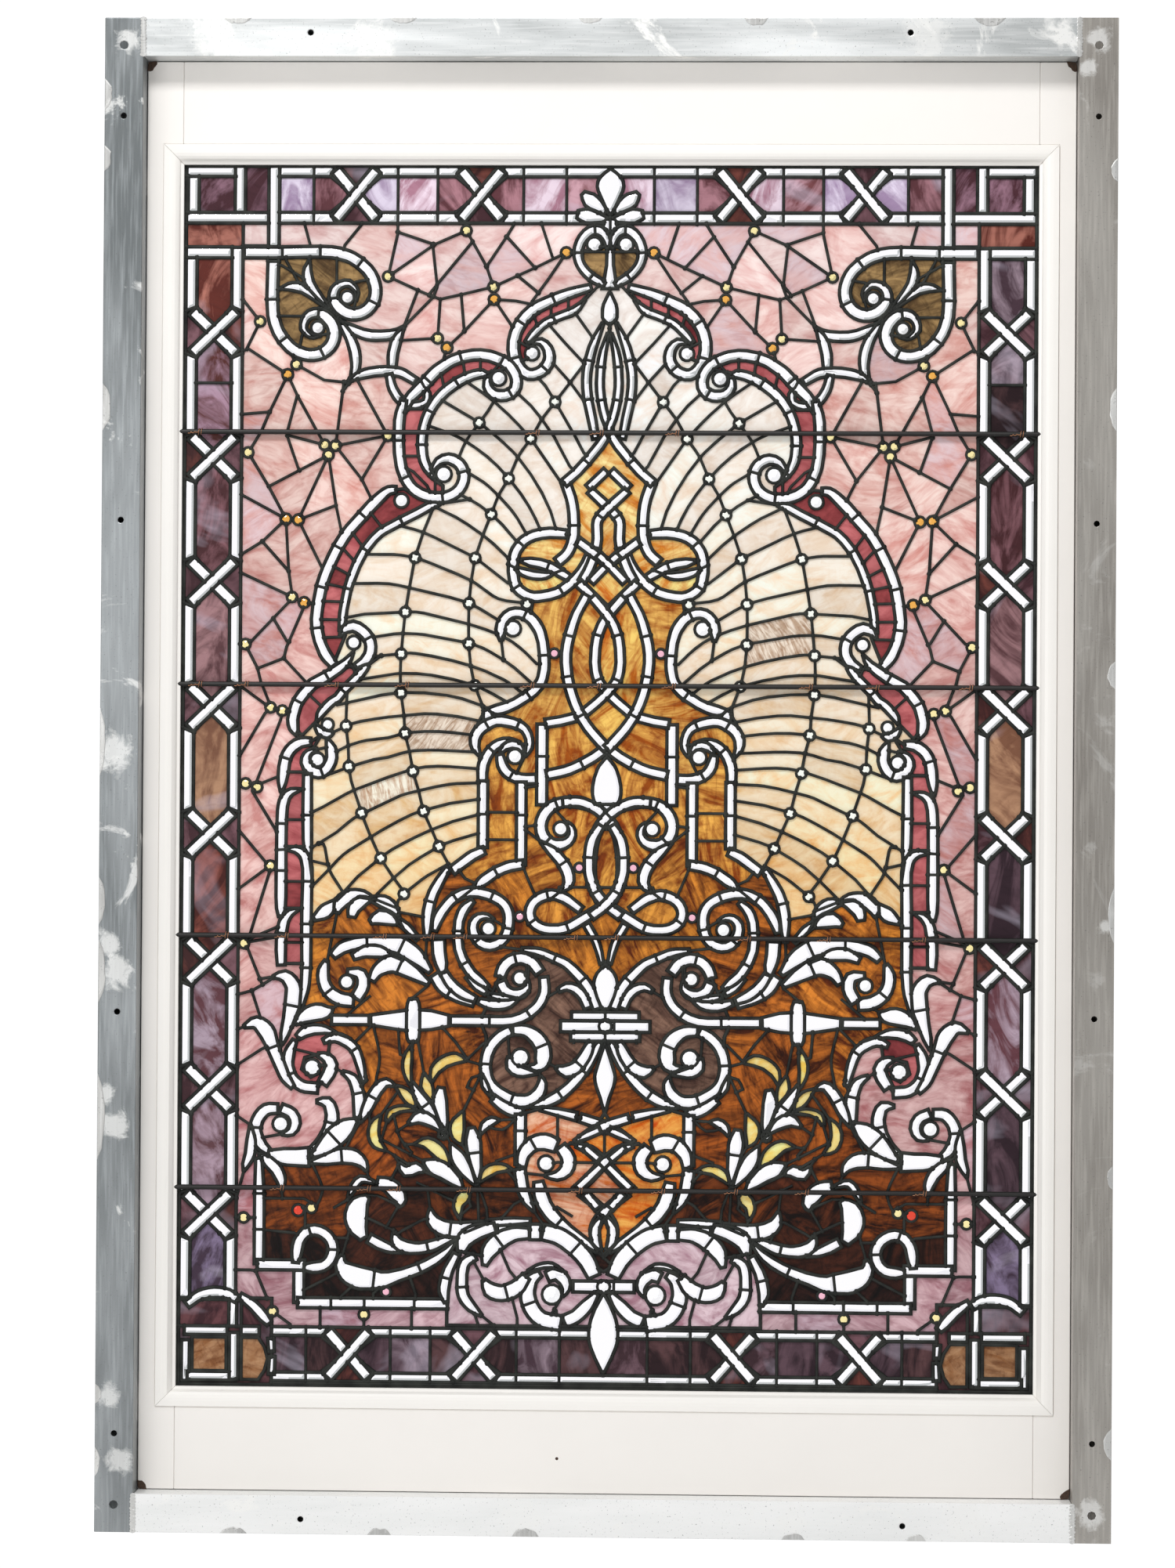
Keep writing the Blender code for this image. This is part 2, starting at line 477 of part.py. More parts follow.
def saddle_bars():
    steel = material("saddle_bar", (0.06, 0.055, 0.05), 0.55, 0.6)
    half = HALF_W + BAR_IN_BEAD
    holes = bmesh.new()
    for k, height in enumerate(BAR_HEIGHTS):
        z = height * TO_SIGHT_Z
        bm = bmesh.new()
        add_rod(bm, (-half + GAP, BAR_Y, z), (half - GAP, BAR_Y, z), BAR_DIAMETER, BAR_SIDES)
        add_object(f"saddle_bar_{k + 1}", bm, steel)
        for side in (-1, 1):
            start, end = side * (HALF_W - BAR_IN_BEAD), side * half
            add_rod(holes, (start, BAR_Y, z), (end, BAR_Y, z), BAR_DIAMETER + 2 * GAP, BAR_SIDES)
    return cutter("bar_holes", holes)


def edge_came(name, start, end, outward, mat):
    """One side of the lead that edges the panel: a channel whose slot takes the glass."""
    start, end, outward = Vector(start), Vector(end), Vector(outward)
    along = (end - start).normalized() * GAP / 2
    cover = EDGE_COVER - GAP
    slot_foot = cover - SLOT_FIT + GAP
    section = [
        (-EDGE_SHOWS, CAME_FRONT),
        (cover, CAME_FRONT),
        (cover, CAME_BACK),
        (-EDGE_SHOWS, CAME_BACK),
        (-EDGE_SHOWS, PANE_BACK + GAP),
        (slot_foot, PANE_BACK + GAP),
        (slot_foot, PANE_FRONT - GAP),
        (-EDGE_SHOWS, PANE_FRONT - GAP),
    ]
    bm = bmesh.new()
    ends = []
    for place in (start + along, end - along):
        ends.append([bm.verts.new((*(place + outward * out).xz, 0)) for out, y in section])
        for vert, (out, y) in zip(ends[-1], section):
            vert.co = (vert.co.x, y, vert.co.y)
    count = len(section)
    for k in range(count):
        n = (k + 1) % count
        bm.faces.new((ends[0][k], ends[0][n], ends[1][n], ends[1][k]))
    bm.faces.new(ends[0])
    bm.faces.new(ends[1])
    add_object(name, bm, mat)


def glass_and_edge(lead):
    glass = material("opal_glass", (0.78, 0.58, 0.44), 0.3)
    pane_out = EDGE_COVER - GAP - SLOT_FIT
    low = (-HALF_W - pane_out, PANE_FRONT, -pane_out)
    high = (HALF_W + pane_out, PANE_BACK, SIGHT_H + pane_out)
    add_object("glass_panes", box_mesh(low, high), glass)
    out = EDGE_COVER - GAP
    for side, name in ((-1, "left"), (1, "right")):
        x = side * HALF_W
        edge_came(f"edge_came_{name}", (x, 0, -out), (x, 0, SIGHT_H + out), (side, 0, 0), lead)
    half = HALF_W - EDGE_SHOWS - GAP
    for z, rise, name in ((0, -1, "bottom"), (SIGHT_H, 1, "top")):
        edge_came(f"edge_came_{name}", (-half, 0, z), (half, 0, z), (0, 0, rise), lead)


def smooth_path(points):
    """A centripetal curve through (x, z, width) points, then only the points that its bends need."""
    p = np.array(points, float)
    if len(p) == 2:
        return p
    ends = [2 * p[0] - p[1], *p, 2 * p[-1] - p[-2]]
    path = [p[0]]
    for a, b, c, d in zip(ends, ends[1:], ends[2:], ends[3:]):
        t1 = math.sqrt(max(math.dist(a[:2], b[:2]), MM))
        t2 = t1 + math.sqrt(max(math.dist(b[:2], c[:2]), MM))
        t3 = t2 + math.sqrt(max(math.dist(c[:2], d[:2]), MM))
        for t in np.linspace(t1, t2, max(2, int(math.dist(b[:2], c[:2]) / STEP)) + 1)[1:]:
            a1 = a + (b - a) * t / t1
            a2 = b + (c - b) * (t - t1) / (t2 - t1)
            a3 = c + (d - c) * (t - t2) / (t3 - t2)
            b1 = a1 + (a2 - a1) * t / t2
            b2 = a2 + (a3 - a2) * (t - t1) / (t3 - t1)
            path.append(b1 + (b2 - b1) * (t - t1) / (t2 - t1))
    path = np.array(path)
    keep = {0, len(path) - 1}
    spans = [(0, len(path) - 1)]
    while spans:
        i, j = spans.pop()
        if j - i < 2:
            continue
        share = np.linspace(0, 1, j - i + 1)[:, None]
        chord = path[i, :2] + (path[j, :2] - path[i, :2]) * share
        along = path[j, :2] - path[i, :2]
        length = max(np.hypot(*along), 1e-6)
        off = path[i : j + 1, :2] - path[i, :2]
        away = np.abs(off[:, 0] * along[1] - off[:, 1] * along[0]) / length
        away = np.maximum(away, (np.hypot(*off.T) > length) * np.hypot(*off.T))
        width = path[i, 2] + (path[j, 2] - path[i, 2]) * share[:, 0]
        away = np.maximum(away, np.abs(path[i : j + 1, 2] - width) / 2)
        k = int(np.argmax(away))
        if away[k] > CHORD and 0 < k < j - i:
            keep.add(i + k)
            spans += [(i, i + k), (i + k, j)]
    return path[sorted(keep)]


def ribbon(points):
    """The outline of a shape that follows (x, z, width) points."""
    path = smooth_path(points)
    along = np.gradient(path[:, :2], axis=0)
    along /= np.maximum(np.hypot(along[:, 0], along[:, 1])[:, None], 1e-9)
    aside = np.stack([-along[:, 1], along[:, 0]], 1) * path[:, 2:3] / 2
    left, right = path[:, :2] + aside, path[:, :2] - aside
    if path[0, 2] < CAME_WIDTH:
        left[0] = right[0] = path[0, :2]
    if path[-1, 2] < CAME_WIDTH:
        left[-1] = right[-1] = path[-1, :2]
    return np.vstack([left, right[::-1]])


def mirrored(shapes):
    return shapes + [shape * (-1, 1) for shape in shapes]


def disc(x, z, radius):
    turn = 2 * math.pi / DISC_SIDES
    return np.array(
        [(x + radius * math.cos(k * turn), z + radius * math.sin(k * turn)) for k in range(DISC_SIDES)]
    )


def rect(x0, z0, x1, z1):
    return np.array([(x0, z0), (x1, z0), (x1, z1), (x0, z1)], float)


def border_shapes():
    """Bevel strips round the panel, the crossed bevels between its cells and the squares in its corners."""
    shapes = []
    x_edge, z_edge = SHEET[0] / 2, SHEET[1]
    x_out, x_in = x_edge - SIDE_STRIPS[0][0], x_edge - SIDE_STRIPS[1][1]
    for low, high in SIDE_STRIPS:
        strip = [rect(x_edge - high, FOOT_STRIPS[0][0], x_edge - low, z_edge - HEAD_STRIPS[0][0])]
        shapes += mirrored(strip)
    for low, high in HEAD_STRIPS:
        shapes.append(rect(-x_out, z_edge - high, x_out, z_edge - low))
    for low, high in FOOT_STRIPS:
        shapes.append(rect(-x_out, low, x_out, high))
    reach = CROSSING_REACH
    width = SIDE_STRIPS[1][1] - SIDE_STRIPS[1][0]
    side_mid = x_edge - (SIDE_STRIPS[0][1] + SIDE_STRIPS[1][0]) / 2
    head_mid = z_edge - (HEAD_STRIPS[0][1] + HEAD_STRIPS[1][0]) / 2
    foot_mid = (FOOT_STRIPS[0][1] + FOOT_STRIPS[1][0]) / 2
    places = [(side_mid, z) for z in SIDE_CROSSINGS]
    places += [(x, z) for x in END_CROSSINGS for z in (head_mid, foot_mid)]
    crossed = []
    for x, z in places:
        for rise in (-1, 1):
            ends = [(x - reach, z - rise * reach, width), (x + reach, z + rise * reach, width)]
            crossed.append(ribbon(ends))
    crossed.append(rect(x_in, CORNER_RAIL - width / 2, x_out, CORNER_RAIL + width / 2))
    post = (CORNER_POST - width / 2, CORNER_RAIL, CORNER_POST + width / 2, z_edge - HEAD_STRIPS[0][0])
    crossed.append(rect(*post))
    return shapes + mirrored(crossed)


def in_any(points, shapes, odd):
    """Which points lie in at least one outline, or in an odd number of them."""
    count = np.zeros(len(points), int)
    for shape in shapes:
        near = ((points >= shape.min(0)) & (points <= shape.max(0))).all(1)
        if not near.any():
            continue
        x, z = points[near, :1], points[near, 1:2]
        a, b = shape, np.roll(shape, -1, 0)
        rise = np.where(b[:, 1] == a[:, 1], 1, b[:, 1] - a[:, 1])
        crosses = (a[:, 1] > z) != (b[:, 1] > z)
        at = (b[:, 0] - a[:, 0]) * (z - a[:, 1]) / rise + a[:, 0]
        count[near] += (crosses & (x < at)).sum(1) % 2
    return count % 2 == 1 if odd else count > 0


def triangulate(outlines):
    points = np.vstack(outlines)
    edges = []
    first = 0
    for outline in outlines:
        size = len(outline)
        edges += [(first + k, first + (k + 1) % size) for k in range(size)]
        first += size
    made = delaunay_2d_cdt([Vector(p) for p in points], edges, [], 0, 0.02)
    return np.array([tuple(v) for v in made[0]]), np.array(made[2])


def largest_piece(verts, faces):
    """The faces of the connected piece that covers most, joined across whole edges."""
    owner = {}
    near = [[] for _ in faces]
    for f, face in enumerate(faces):
        for k in range(3):
            edge = frozenset((face[k], face[k - 1]))
            if edge in owner:
                near[f].append(owner[edge])
                near[owner[edge]].append(f)
            else:
                owner[edge] = f
    left, best, most = set(range(len(faces))), [], 0
    while left:
        group, reached = [], [left.pop()]
        while reached:
            f = reached.pop()
            group.append(f)
            found = [n for n in near[f] if n in left]
            left.difference_update(found)
            reached += found
        a, b, c = (verts[faces[group, k]] for k in range(3))
        cover = np.abs((b - a)[:, 0] * (c - a)[:, 1] - (b - a)[:, 1] * (c - a)[:, 0]).sum() / 2
        if cover > most:
            best, most = group, cover
    return faces[best]


def rims(faces):
    """Closed chains of rim vertices, and the vertices where two chains meet."""
    edges = {(face[k - 1], face[k]) for face in faces for k in range(3)}
    follow = {}
    for a, b in edges:
        if (b, a) not in edges:
            follow.setdefault(a, []).append(b)
    pinches = [a for a, ways in follow.items() if len(ways) > 1]
    chains = []
    while follow:
        start = next(iter(follow))
        chain, here = [], start
        while True:
            chain.append(here)
            ways = follow[here]
            there = ways.pop()
            if not ways:
                del follow[here]
            here = there
            if here == start:
                break
        chains.append(chain)
    return chains, pinches


def eased(outline):
    """An outline without its shortest edges and its nearly straight corners."""
    kept = list(outline)
    changed = True
    while changed and len(kept) > 4:
        changed = False
        for k in range(len(kept)):
            a, b, c = kept[k - 1], kept[k], kept[(k + 1) % len(kept)]
            base = math.dist(a, c)
            area = abs((b[0] - a[0]) * (c[1] - a[1]) - (b[1] - a[1]) * (c[0] - a[0]))
            if math.dist(a, b) < WELD or area < base * EASE:
                del kept[k]
                changed = True
                break
    return np.array(kept)


def outline_area(outline):
    x, z = outline[:, 0], outline[:, 1]
    return abs((x * np.roll(z, -1) - np.roll(x, -1) * z).sum()) / 2


def dense(outline):
    """Points all along an outline."""
    parts = []
    for a, b in zip(outline, np.roll(outline, -1, 0)):
        shares = np.arange(0, 1, STEP / max(math.dist(a, b), STEP))
        parts.append(a + (b - a) * shares[:, None])
    return np.vstack(parts)


def bridges(shapes):
    """Short leads that tie each shape to its nearest neighbour, until all hang together."""
    lines = [dense(shape) for shape in shapes]
    gaps = []
    for i, one in enumerate(shapes):
        for j in range(i):
            other = shapes[j]
            apart = np.maximum(one.min(0) - other.max(0), other.min(0) - one.max(0)).max()
            if apart > BRIDGE_REACH:
                continue
            if in_any(lines[i], [other], False).any() or in_any(lines[j], [one], False).any():
                gaps.append((0, i, j, None))
                continue
            away = np.hypot(*(lines[i][:, None] - lines[j][None]).T)
            b, a = np.unravel_index(np.argmin(away), away.shape)
            gaps.append((away[b, a], i, j, (lines[i][a], lines[j][b])))
    group = list(range(len(shapes)))
    made = []
    for gap, i, j, ends in sorted(gaps, key=lambda g: g[:3]):
        if group[i] == group[j]:
            continue
        old, new = group[i], group[j]
        group = [new if g == old else g for g in group]
        if ends is not None:
            a, b = ends
            reach = (b - a) / max(math.dist(a, b), 1e-6) * CAME_WIDTH / 2
            made.append(ribbon([(*(a - reach), CAME_WIDTH), (*(b + reach), CAME_WIDTH)]))
    return made


def joined(shapes):
    """The union of the outlines as one connected sheet of triangles that nowhere meets itself at a point."""
    outlines = []
    while True:
        verts, faces = triangulate(outlines + shapes)
        middle = verts[faces].mean(1)
        keep = in_any(middle, outlines, True) | in_any(middle, shapes, False)
        faces = largest_piece(verts, faces[keep])
        chains, pinches = rims(faces)
        if not shapes and not pinches:
            return verts, faces
        outlines = [eased(verts[chain]) for chain in chains]
        outlines = [outline for outline in outlines if outline_area(outline) > SMALL_GAP]
        shapes = [disc(*verts[k], PINCH_FILL) for k in pinches]


def strapwork(lead):
    """Bevelled straps, leaves, jewels and heavy leads that stand on the face of the glass, as one body."""
    shapes = border_shapes()
    other_half = [[(z - DIAGONAL_SHIFT, x + DIAGONAL_SHIFT, w) for x, z, w in path] for path in BRACKET]
    for path in ARCH + MIDDLE + KNOT + LOWER + CENTRE + BRACKET + other_half:
        shapes += mirrored([ribbon(path)])
    for line in LEADS:
        path = [(x, z, CAME_WIDTH) for x, z in line]
        shapes += mirrored([ribbon(pair) for pair in zip(path, path[1:])])
    shapes += mirrored([disc(x, z, radius + JEWEL_LEAD) for x, z, radius in EYES])
    verts, faces = joined(shapes + bridges(shapes))
    used = sorted(set(faces.ravel()))
    bm = bmesh.new()
    places = verts * (TO_SIGHT_X, TO_SIGHT_Z)
    front = {k: bm.verts.new((places[k][0], RELIEF_FRONT, places[k][1])) for k in used}
    back = {k: bm.verts.new((places[k][0], RELIEF_FRONT + RELIEF, places[k][1])) for k in used}
    for face in faces:
        bm.faces.new([front[k] for k in face])
        bm.faces.new([back[k] for k in reversed(face)])
    for chain in rims(faces)[0]:
        for k, n in zip(chain, chain[1:] + chain[:1]):
            bm.faces.new((front[n], front[k], back[k], back[n]))
    return add_object("bevelled_straps", bm, lead)


def build():
    for made in list(bpy.data.objects):
        bpy.data.objects.remove(made, do_unlink=True)
    outer_frame()
    sash()
    beads(saddle_bars())
    lead = material("lead_came", (0.09, 0.09, 0.088), 0.5, 0.6)
    glass_and_edge(lead)
    strapwork(lead)


build()
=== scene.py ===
"""Looks of the leaded window: its glass, leads, jewels and ties, its painted sash and its aluminium frame.

The panel is drawn as a cartoon, in millimetres: x from the centre line, z up from the sight edge's foot.
Each shape is laid over those before it, and the leads that are left at the end part the glass into pieces.
"""

import math
import random

import bmesh
import bpy
import numpy as np
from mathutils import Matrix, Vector
from mathutils.geometry import delaunay_2d_cdt
from mathutils.kdtree import KDTree

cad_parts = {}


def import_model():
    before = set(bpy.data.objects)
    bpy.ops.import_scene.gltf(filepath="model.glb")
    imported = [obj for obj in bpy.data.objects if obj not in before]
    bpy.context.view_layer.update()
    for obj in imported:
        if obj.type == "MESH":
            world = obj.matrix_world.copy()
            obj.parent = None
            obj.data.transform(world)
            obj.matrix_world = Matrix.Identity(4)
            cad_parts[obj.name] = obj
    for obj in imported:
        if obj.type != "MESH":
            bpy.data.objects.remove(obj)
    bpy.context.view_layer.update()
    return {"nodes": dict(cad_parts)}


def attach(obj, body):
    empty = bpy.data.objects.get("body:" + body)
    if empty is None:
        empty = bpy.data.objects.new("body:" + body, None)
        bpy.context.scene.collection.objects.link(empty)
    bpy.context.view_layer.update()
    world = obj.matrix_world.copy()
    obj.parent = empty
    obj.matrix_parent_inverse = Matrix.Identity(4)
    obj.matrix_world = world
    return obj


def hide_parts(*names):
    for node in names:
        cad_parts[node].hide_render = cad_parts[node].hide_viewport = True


MM = 0.001

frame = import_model()
draw = random.Random(11)

# The panel's place in the frame
SIGHT_HALF = 546
SIGHT_HIGH = 1562
PANEL_FOOT = 0.1555
PANE_FRONT = -0.0177
PANE_BACK = -0.0149
LEAD_FRONT = -0.0206
LEAD_BACK = -0.0124
BAR_Y = -0.0246
BAR_R = 3.3 * MM

# Leads and bevels, in millimetres
CAME = 4.8
THIN_CAME = 4.0
BEVEL = 2.4
BEVEL_RISE = 1.5
EASE = 0.22
LEAST_PIECE = 150
OUT_OF_REACH = 99
# Above this height the bevels' leaning facets take the deep painted shade
PAINTED_SHADE_Z = 1180

# The border
OUT_X, STRIP_X, LAY_X, IN_X = 543.5, 529.5, 484.5, 470.5
HEAD_Z = (1561.0, 1548.0, 1502.0, 1488.0)
FOOT_Z = (76.0, 65.0, 18.0, 7.0)
SIDE_CROSSINGS = (1348, 1188, 1028, 868, 706, 543, 380, 219)
END_CROSSINGS = (326, 165)
DIAGONAL_SHIFT = 1019


def spline(points, step):
    """A centripetal curve through (x, z, ...) points."""
    p = np.array(points, float)
    if len(p) == 2:
        count = max(1, int(np.hypot(*(p[1, :2] - p[0, :2])) / step / 4))
        return p[0] + (p[1] - p[0]) * np.linspace(0, 1, count + 1)[:, None]
    ends = [2 * p[0] - p[1], *p, 2 * p[-1] - p[-2]]
    out = [p[0]]
    for a, b, c, d in zip(ends, ends[1:], ends[2:], ends[3:]):
        t1 = max(np.hypot(*(b - a)[:2]), 1e-6) ** 0.5
        t2 = t1 + max(np.hypot(*(c - b)[:2]), 1e-6) ** 0.5
        t3 = t2 + max(np.hypot(*(d - c)[:2]), 1e-6) ** 0.5
        count = max(2, int(np.hypot(*(c - b)[:2]) / step))
        for t in np.linspace(t1, t2, count + 1)[1:]:
            a1 = a + (b - a) * t / t1
            a2 = b + (c - b) * (t - t1) / (t2 - t1)
            a3 = c + (d - c) * (t - t2) / (t3 - t2)
            b1 = a1 + (a2 - a1) * t / t2
            b2 = a2 + (a3 - a2) * (t - t1) / (t3 - t1)
            out.append(b1 + (b2 - b1) * (t - t1) / (t2 - t1))
    return np.array(out)


def sides(path):
    """The left and right sides of a path of (x, z, width)."""
    along = np.gradient(path[:, :2], axis=0)
    along /= np.maximum(np.hypot(along[:, 0], along[:, 1])[:, None], 1e-9)
    aside = np.stack([-along[:, 1], along[:, 0]], 1) * path[:, 2:3] / 2
    return path[:, :2] + aside, path[:, :2] - aside


def inside(points, poly):
    """Which points lie in a closed polygon."""
    x, z = points[:, 0][:, None], points[:, 1][:, None]
    a, b = poly, np.roll(poly, -1, 0)
    crosses = (a[:, 1] > z) != (b[:, 1] > z)
    rise = np.where(b[:, 1] == a[:, 1], 1e-12, b[:, 1] - a[:, 1])
    at = (b[:, 0] - a[:, 0]) * (z - a[:, 1]) / rise + a[:, 0]
    return ((crosses & (x < at)).sum(1) % 2) == 1


class Cartoon:
    """Lead lines as rows of (x, z, x, z, width), and the painted shapes that say what glass lies where.

    A seam is the edge of a painted shape that has no lead of its own.
    """

    def __init__(self):
        self.leads = np.zeros((0, 5))
        self.paints = []
        self.seams = []
        self.tips = []

    def cut(self, leads, poly):
        """The parts of the leads that lie outside a polygon."""
        low, high = poly.min(0) - 1e-6, poly.max(0) + 1e-6
        near = (
            (np.minimum(leads[:, 0], leads[:, 2]) <= high[0])
            & (np.maximum(leads[:, 0], leads[:, 2]) >= low[0])
            & (np.minimum(leads[:, 1], leads[:, 3]) <= high[1])
            & (np.maximum(leads[:, 1], leads[:, 3]) >= low[1])
        )
        rest, found = leads[~near], leads[near]
        if not len(found):
            return rest
        a, b = poly, np.roll(poly, -1, 0)
        edge = b - a
        run = found[:, 2:4] - found[:, :2]
        cross = run[:, None, 0] * edge[None, :, 1] - run[:, None, 1] * edge[None, :, 0]
        cross = np.where(np.abs(cross) < 1e-12, np.nan, cross)
        off = a[None] - found[:, None, :2]
        t = (off[..., 0] * edge[None, :, 1] - off[..., 1] * edge[None, :, 0]) / cross
        u = (off[..., 0] * run[:, None, 1] - off[..., 1] * run[:, None, 0]) / cross
        hit = (t > 1e-9) & (t < 1 - 1e-9) & (u >= 0) & (u <= 1)
        parts = []
        for k in range(len(found)):
            stops = np.concatenate([[0], np.sort(t[k][hit[k]]), [1]])
            for t0, t1 in zip(stops, stops[1:]):
                if t1 - t0 > 1e-9:
                    parts.append([*(found[k, :2] + run[k] * t0), *(found[k, :2] + run[k] * t1), found[k, 4]])
        parts = np.array(parts)
        covered = inside((parts[:, :2] + parts[:, 2:4]) / 2, poly)
        long = np.hypot(*(parts[:, 2:4] - parts[:, :2]).T) > 0.05
        return np.vstack([rest, parts[~covered & long]])

    def add(self, line, came):
        line = np.asarray(line, float)[:, :2]
        rows = np.hstack([line[:-1], line[1:], np.full((len(line) - 1, 1), came)])
        self.leads = np.vstack([self.leads, rows])

    def line(self, points, step=8, both=True, came=THIN_CAME):
        """A lead line alone."""
        path = spline(points, step)
        for s in (1, -1) if both else (1,):
            self.add(path[:, :2] * (s, 1), came)

    def straight(self, points, both=True, came=THIN_CAME):
        for a, b in zip(points, points[1:]):
            self.line([a, b], both=both, came=came)

    def region(self, poly, kind, both=True, edge=True, came=CAME, clear=True):
        poly = np.asarray(poly, float)[:, :2]
        for s in (1, -1) if both else (1,):
            placed = poly * (s, 1)
            if clear:
                self.leads = self.cut(self.leads, placed)
            if edge:
                for a, b in zip(placed, np.roll(placed, -1, 0)):
                    if a[0] or b[0] or not both:
                        self.add([a, b], came)
            else:
                self.seams += zip(placed, np.roll(placed, -1, 0))
            self.paints.append((placed, kind))

    def stroke(self, points, kind="bevel", cuts=(), step=5, both=True, caps=(True, True), came=CAME):
        """A shape that follows (x, z, width) points; cuts are the places along it of its cross joints."""
        path = spline(points, step)
        path[:, 2] = np.maximum(path[:, 2], 0.02)
        left, right = sides(path)
        outline = np.vstack([left, right[::-1]])
        for s in (1, -1) if both else (1,):
            turn = np.array([s, 1])
            self.leads = self.cut(self.leads, outline * turn)
            self.add(left * turn, came)
            self.add(right * turn, came)
            for end, k in zip(caps, (0, -1)):
                if end and path[k, 2] > 1:
                    self.add(np.array([left[k], right[k]]) * turn, came)
            for place in cuts:
                k = int(np.argmin(np.hypot(*(path[:, :2] - place).T)))
                if 0 < k < len(path) - 1:
                    self.add(np.array([left[k], right[k]]) * turn, THIN_CAME)
            self.paints.append((outline * turn, kind))
            for k, n in ((0, 1), (-1, -2)):
                if path[k, 2] < 6:
                    self.tips.append((path[k, :2] * turn, (path[k, :2] - path[n, :2]) * turn))
        return path

    def disc(self, x, z, r, kind="jewel", both=True, count=14, came=THIN_CAME):
        turn = np.arange(count) * 2 * math.pi / count
        outline = np.stack([x + r * np.cos(turn), z + r * np.sin(turn)], 1)
        self.region(outline, kind, both, came=came)

    def reach(self, limit=70):
        """Carries each pointed end on, as a lead, to the next lead: glass can't be cut to an inner corner."""
        for tip, way in self.tips:
            way = way / max(np.hypot(*way), 1e-9)
            a, edge = self.leads[:, :2], self.leads[:, 2:4] - self.leads[:, :2]
            cross = way[0] * edge[:, 1] - way[1] * edge[:, 0]
            cross = np.where(np.abs(cross) < 1e-9, np.nan, cross)
            off = a - tip
            t = (off[:, 0] * edge[:, 1] - off[:, 1] * edge[:, 0]) / cross
            u = (off[:, 0] * way[1] - off[:, 1] * way[0]) / cross
            ahead = t[(t > -1) & (u >= -0.02) & (u <= 1.02)]
            ahead = ahead[np.abs(ahead) > 1.5]
            if len(ahead) and 3 < ahead.min() < limit:
                self.add(np.array([tip, tip + way * ahead.min()]), THIN_CAME)

    def close(self, ahead=16, aside=9):
        """Carries loose ends on to the next lead, so that each piece of glass has lead all round."""
        ends = np.vstack([self.leads[:, :2], self.leads[:, 2:4]])
        others = np.vstack([self.leads[:, 2:4], self.leads[:, :2]])
        tree = KDTree(len(ends))
        for k, end in enumerate(ends):
            tree.insert((*end, 0), k)
        tree.balance()
        a, run = self.leads[:, :2], self.leads[:, 2:4] - self.leads[:, :2]
        length = np.maximum((run**2).sum(1), 1e-9)
        for k, end in enumerate(ends):
            if len(tree.find_range((*end, 0), 0.3)) > 1:
                continue
            along = np.clip(((end - a) * run).sum(1) / length, 0, 1)
            nearest = a + run * along[:, None]
            gap = np.hypot(*(nearest - end).T)
            gap[k % len(a)] = 99
            if gap.min() < 0.3:
                continue
            way = end - others[k]
            way = way / max(np.hypot(*way), 1e-9)
            reach = nearest - end
            lead_on = (reach * way).sum(1) / np.maximum(gap, 1e-9)
            beside = np.where((gap < aside) & (lead_on > 0), gap * 1.6, OUT_OF_REACH)
            cost = np.where((gap < ahead) & (lead_on > 0.85), gap, beside)
            best = int(np.argmin(cost))
            if cost[best] < OUT_OF_REACH:
                self.add([end, nearest[best] + reach[best] / gap[best] * 0.1], THIN_CAME)



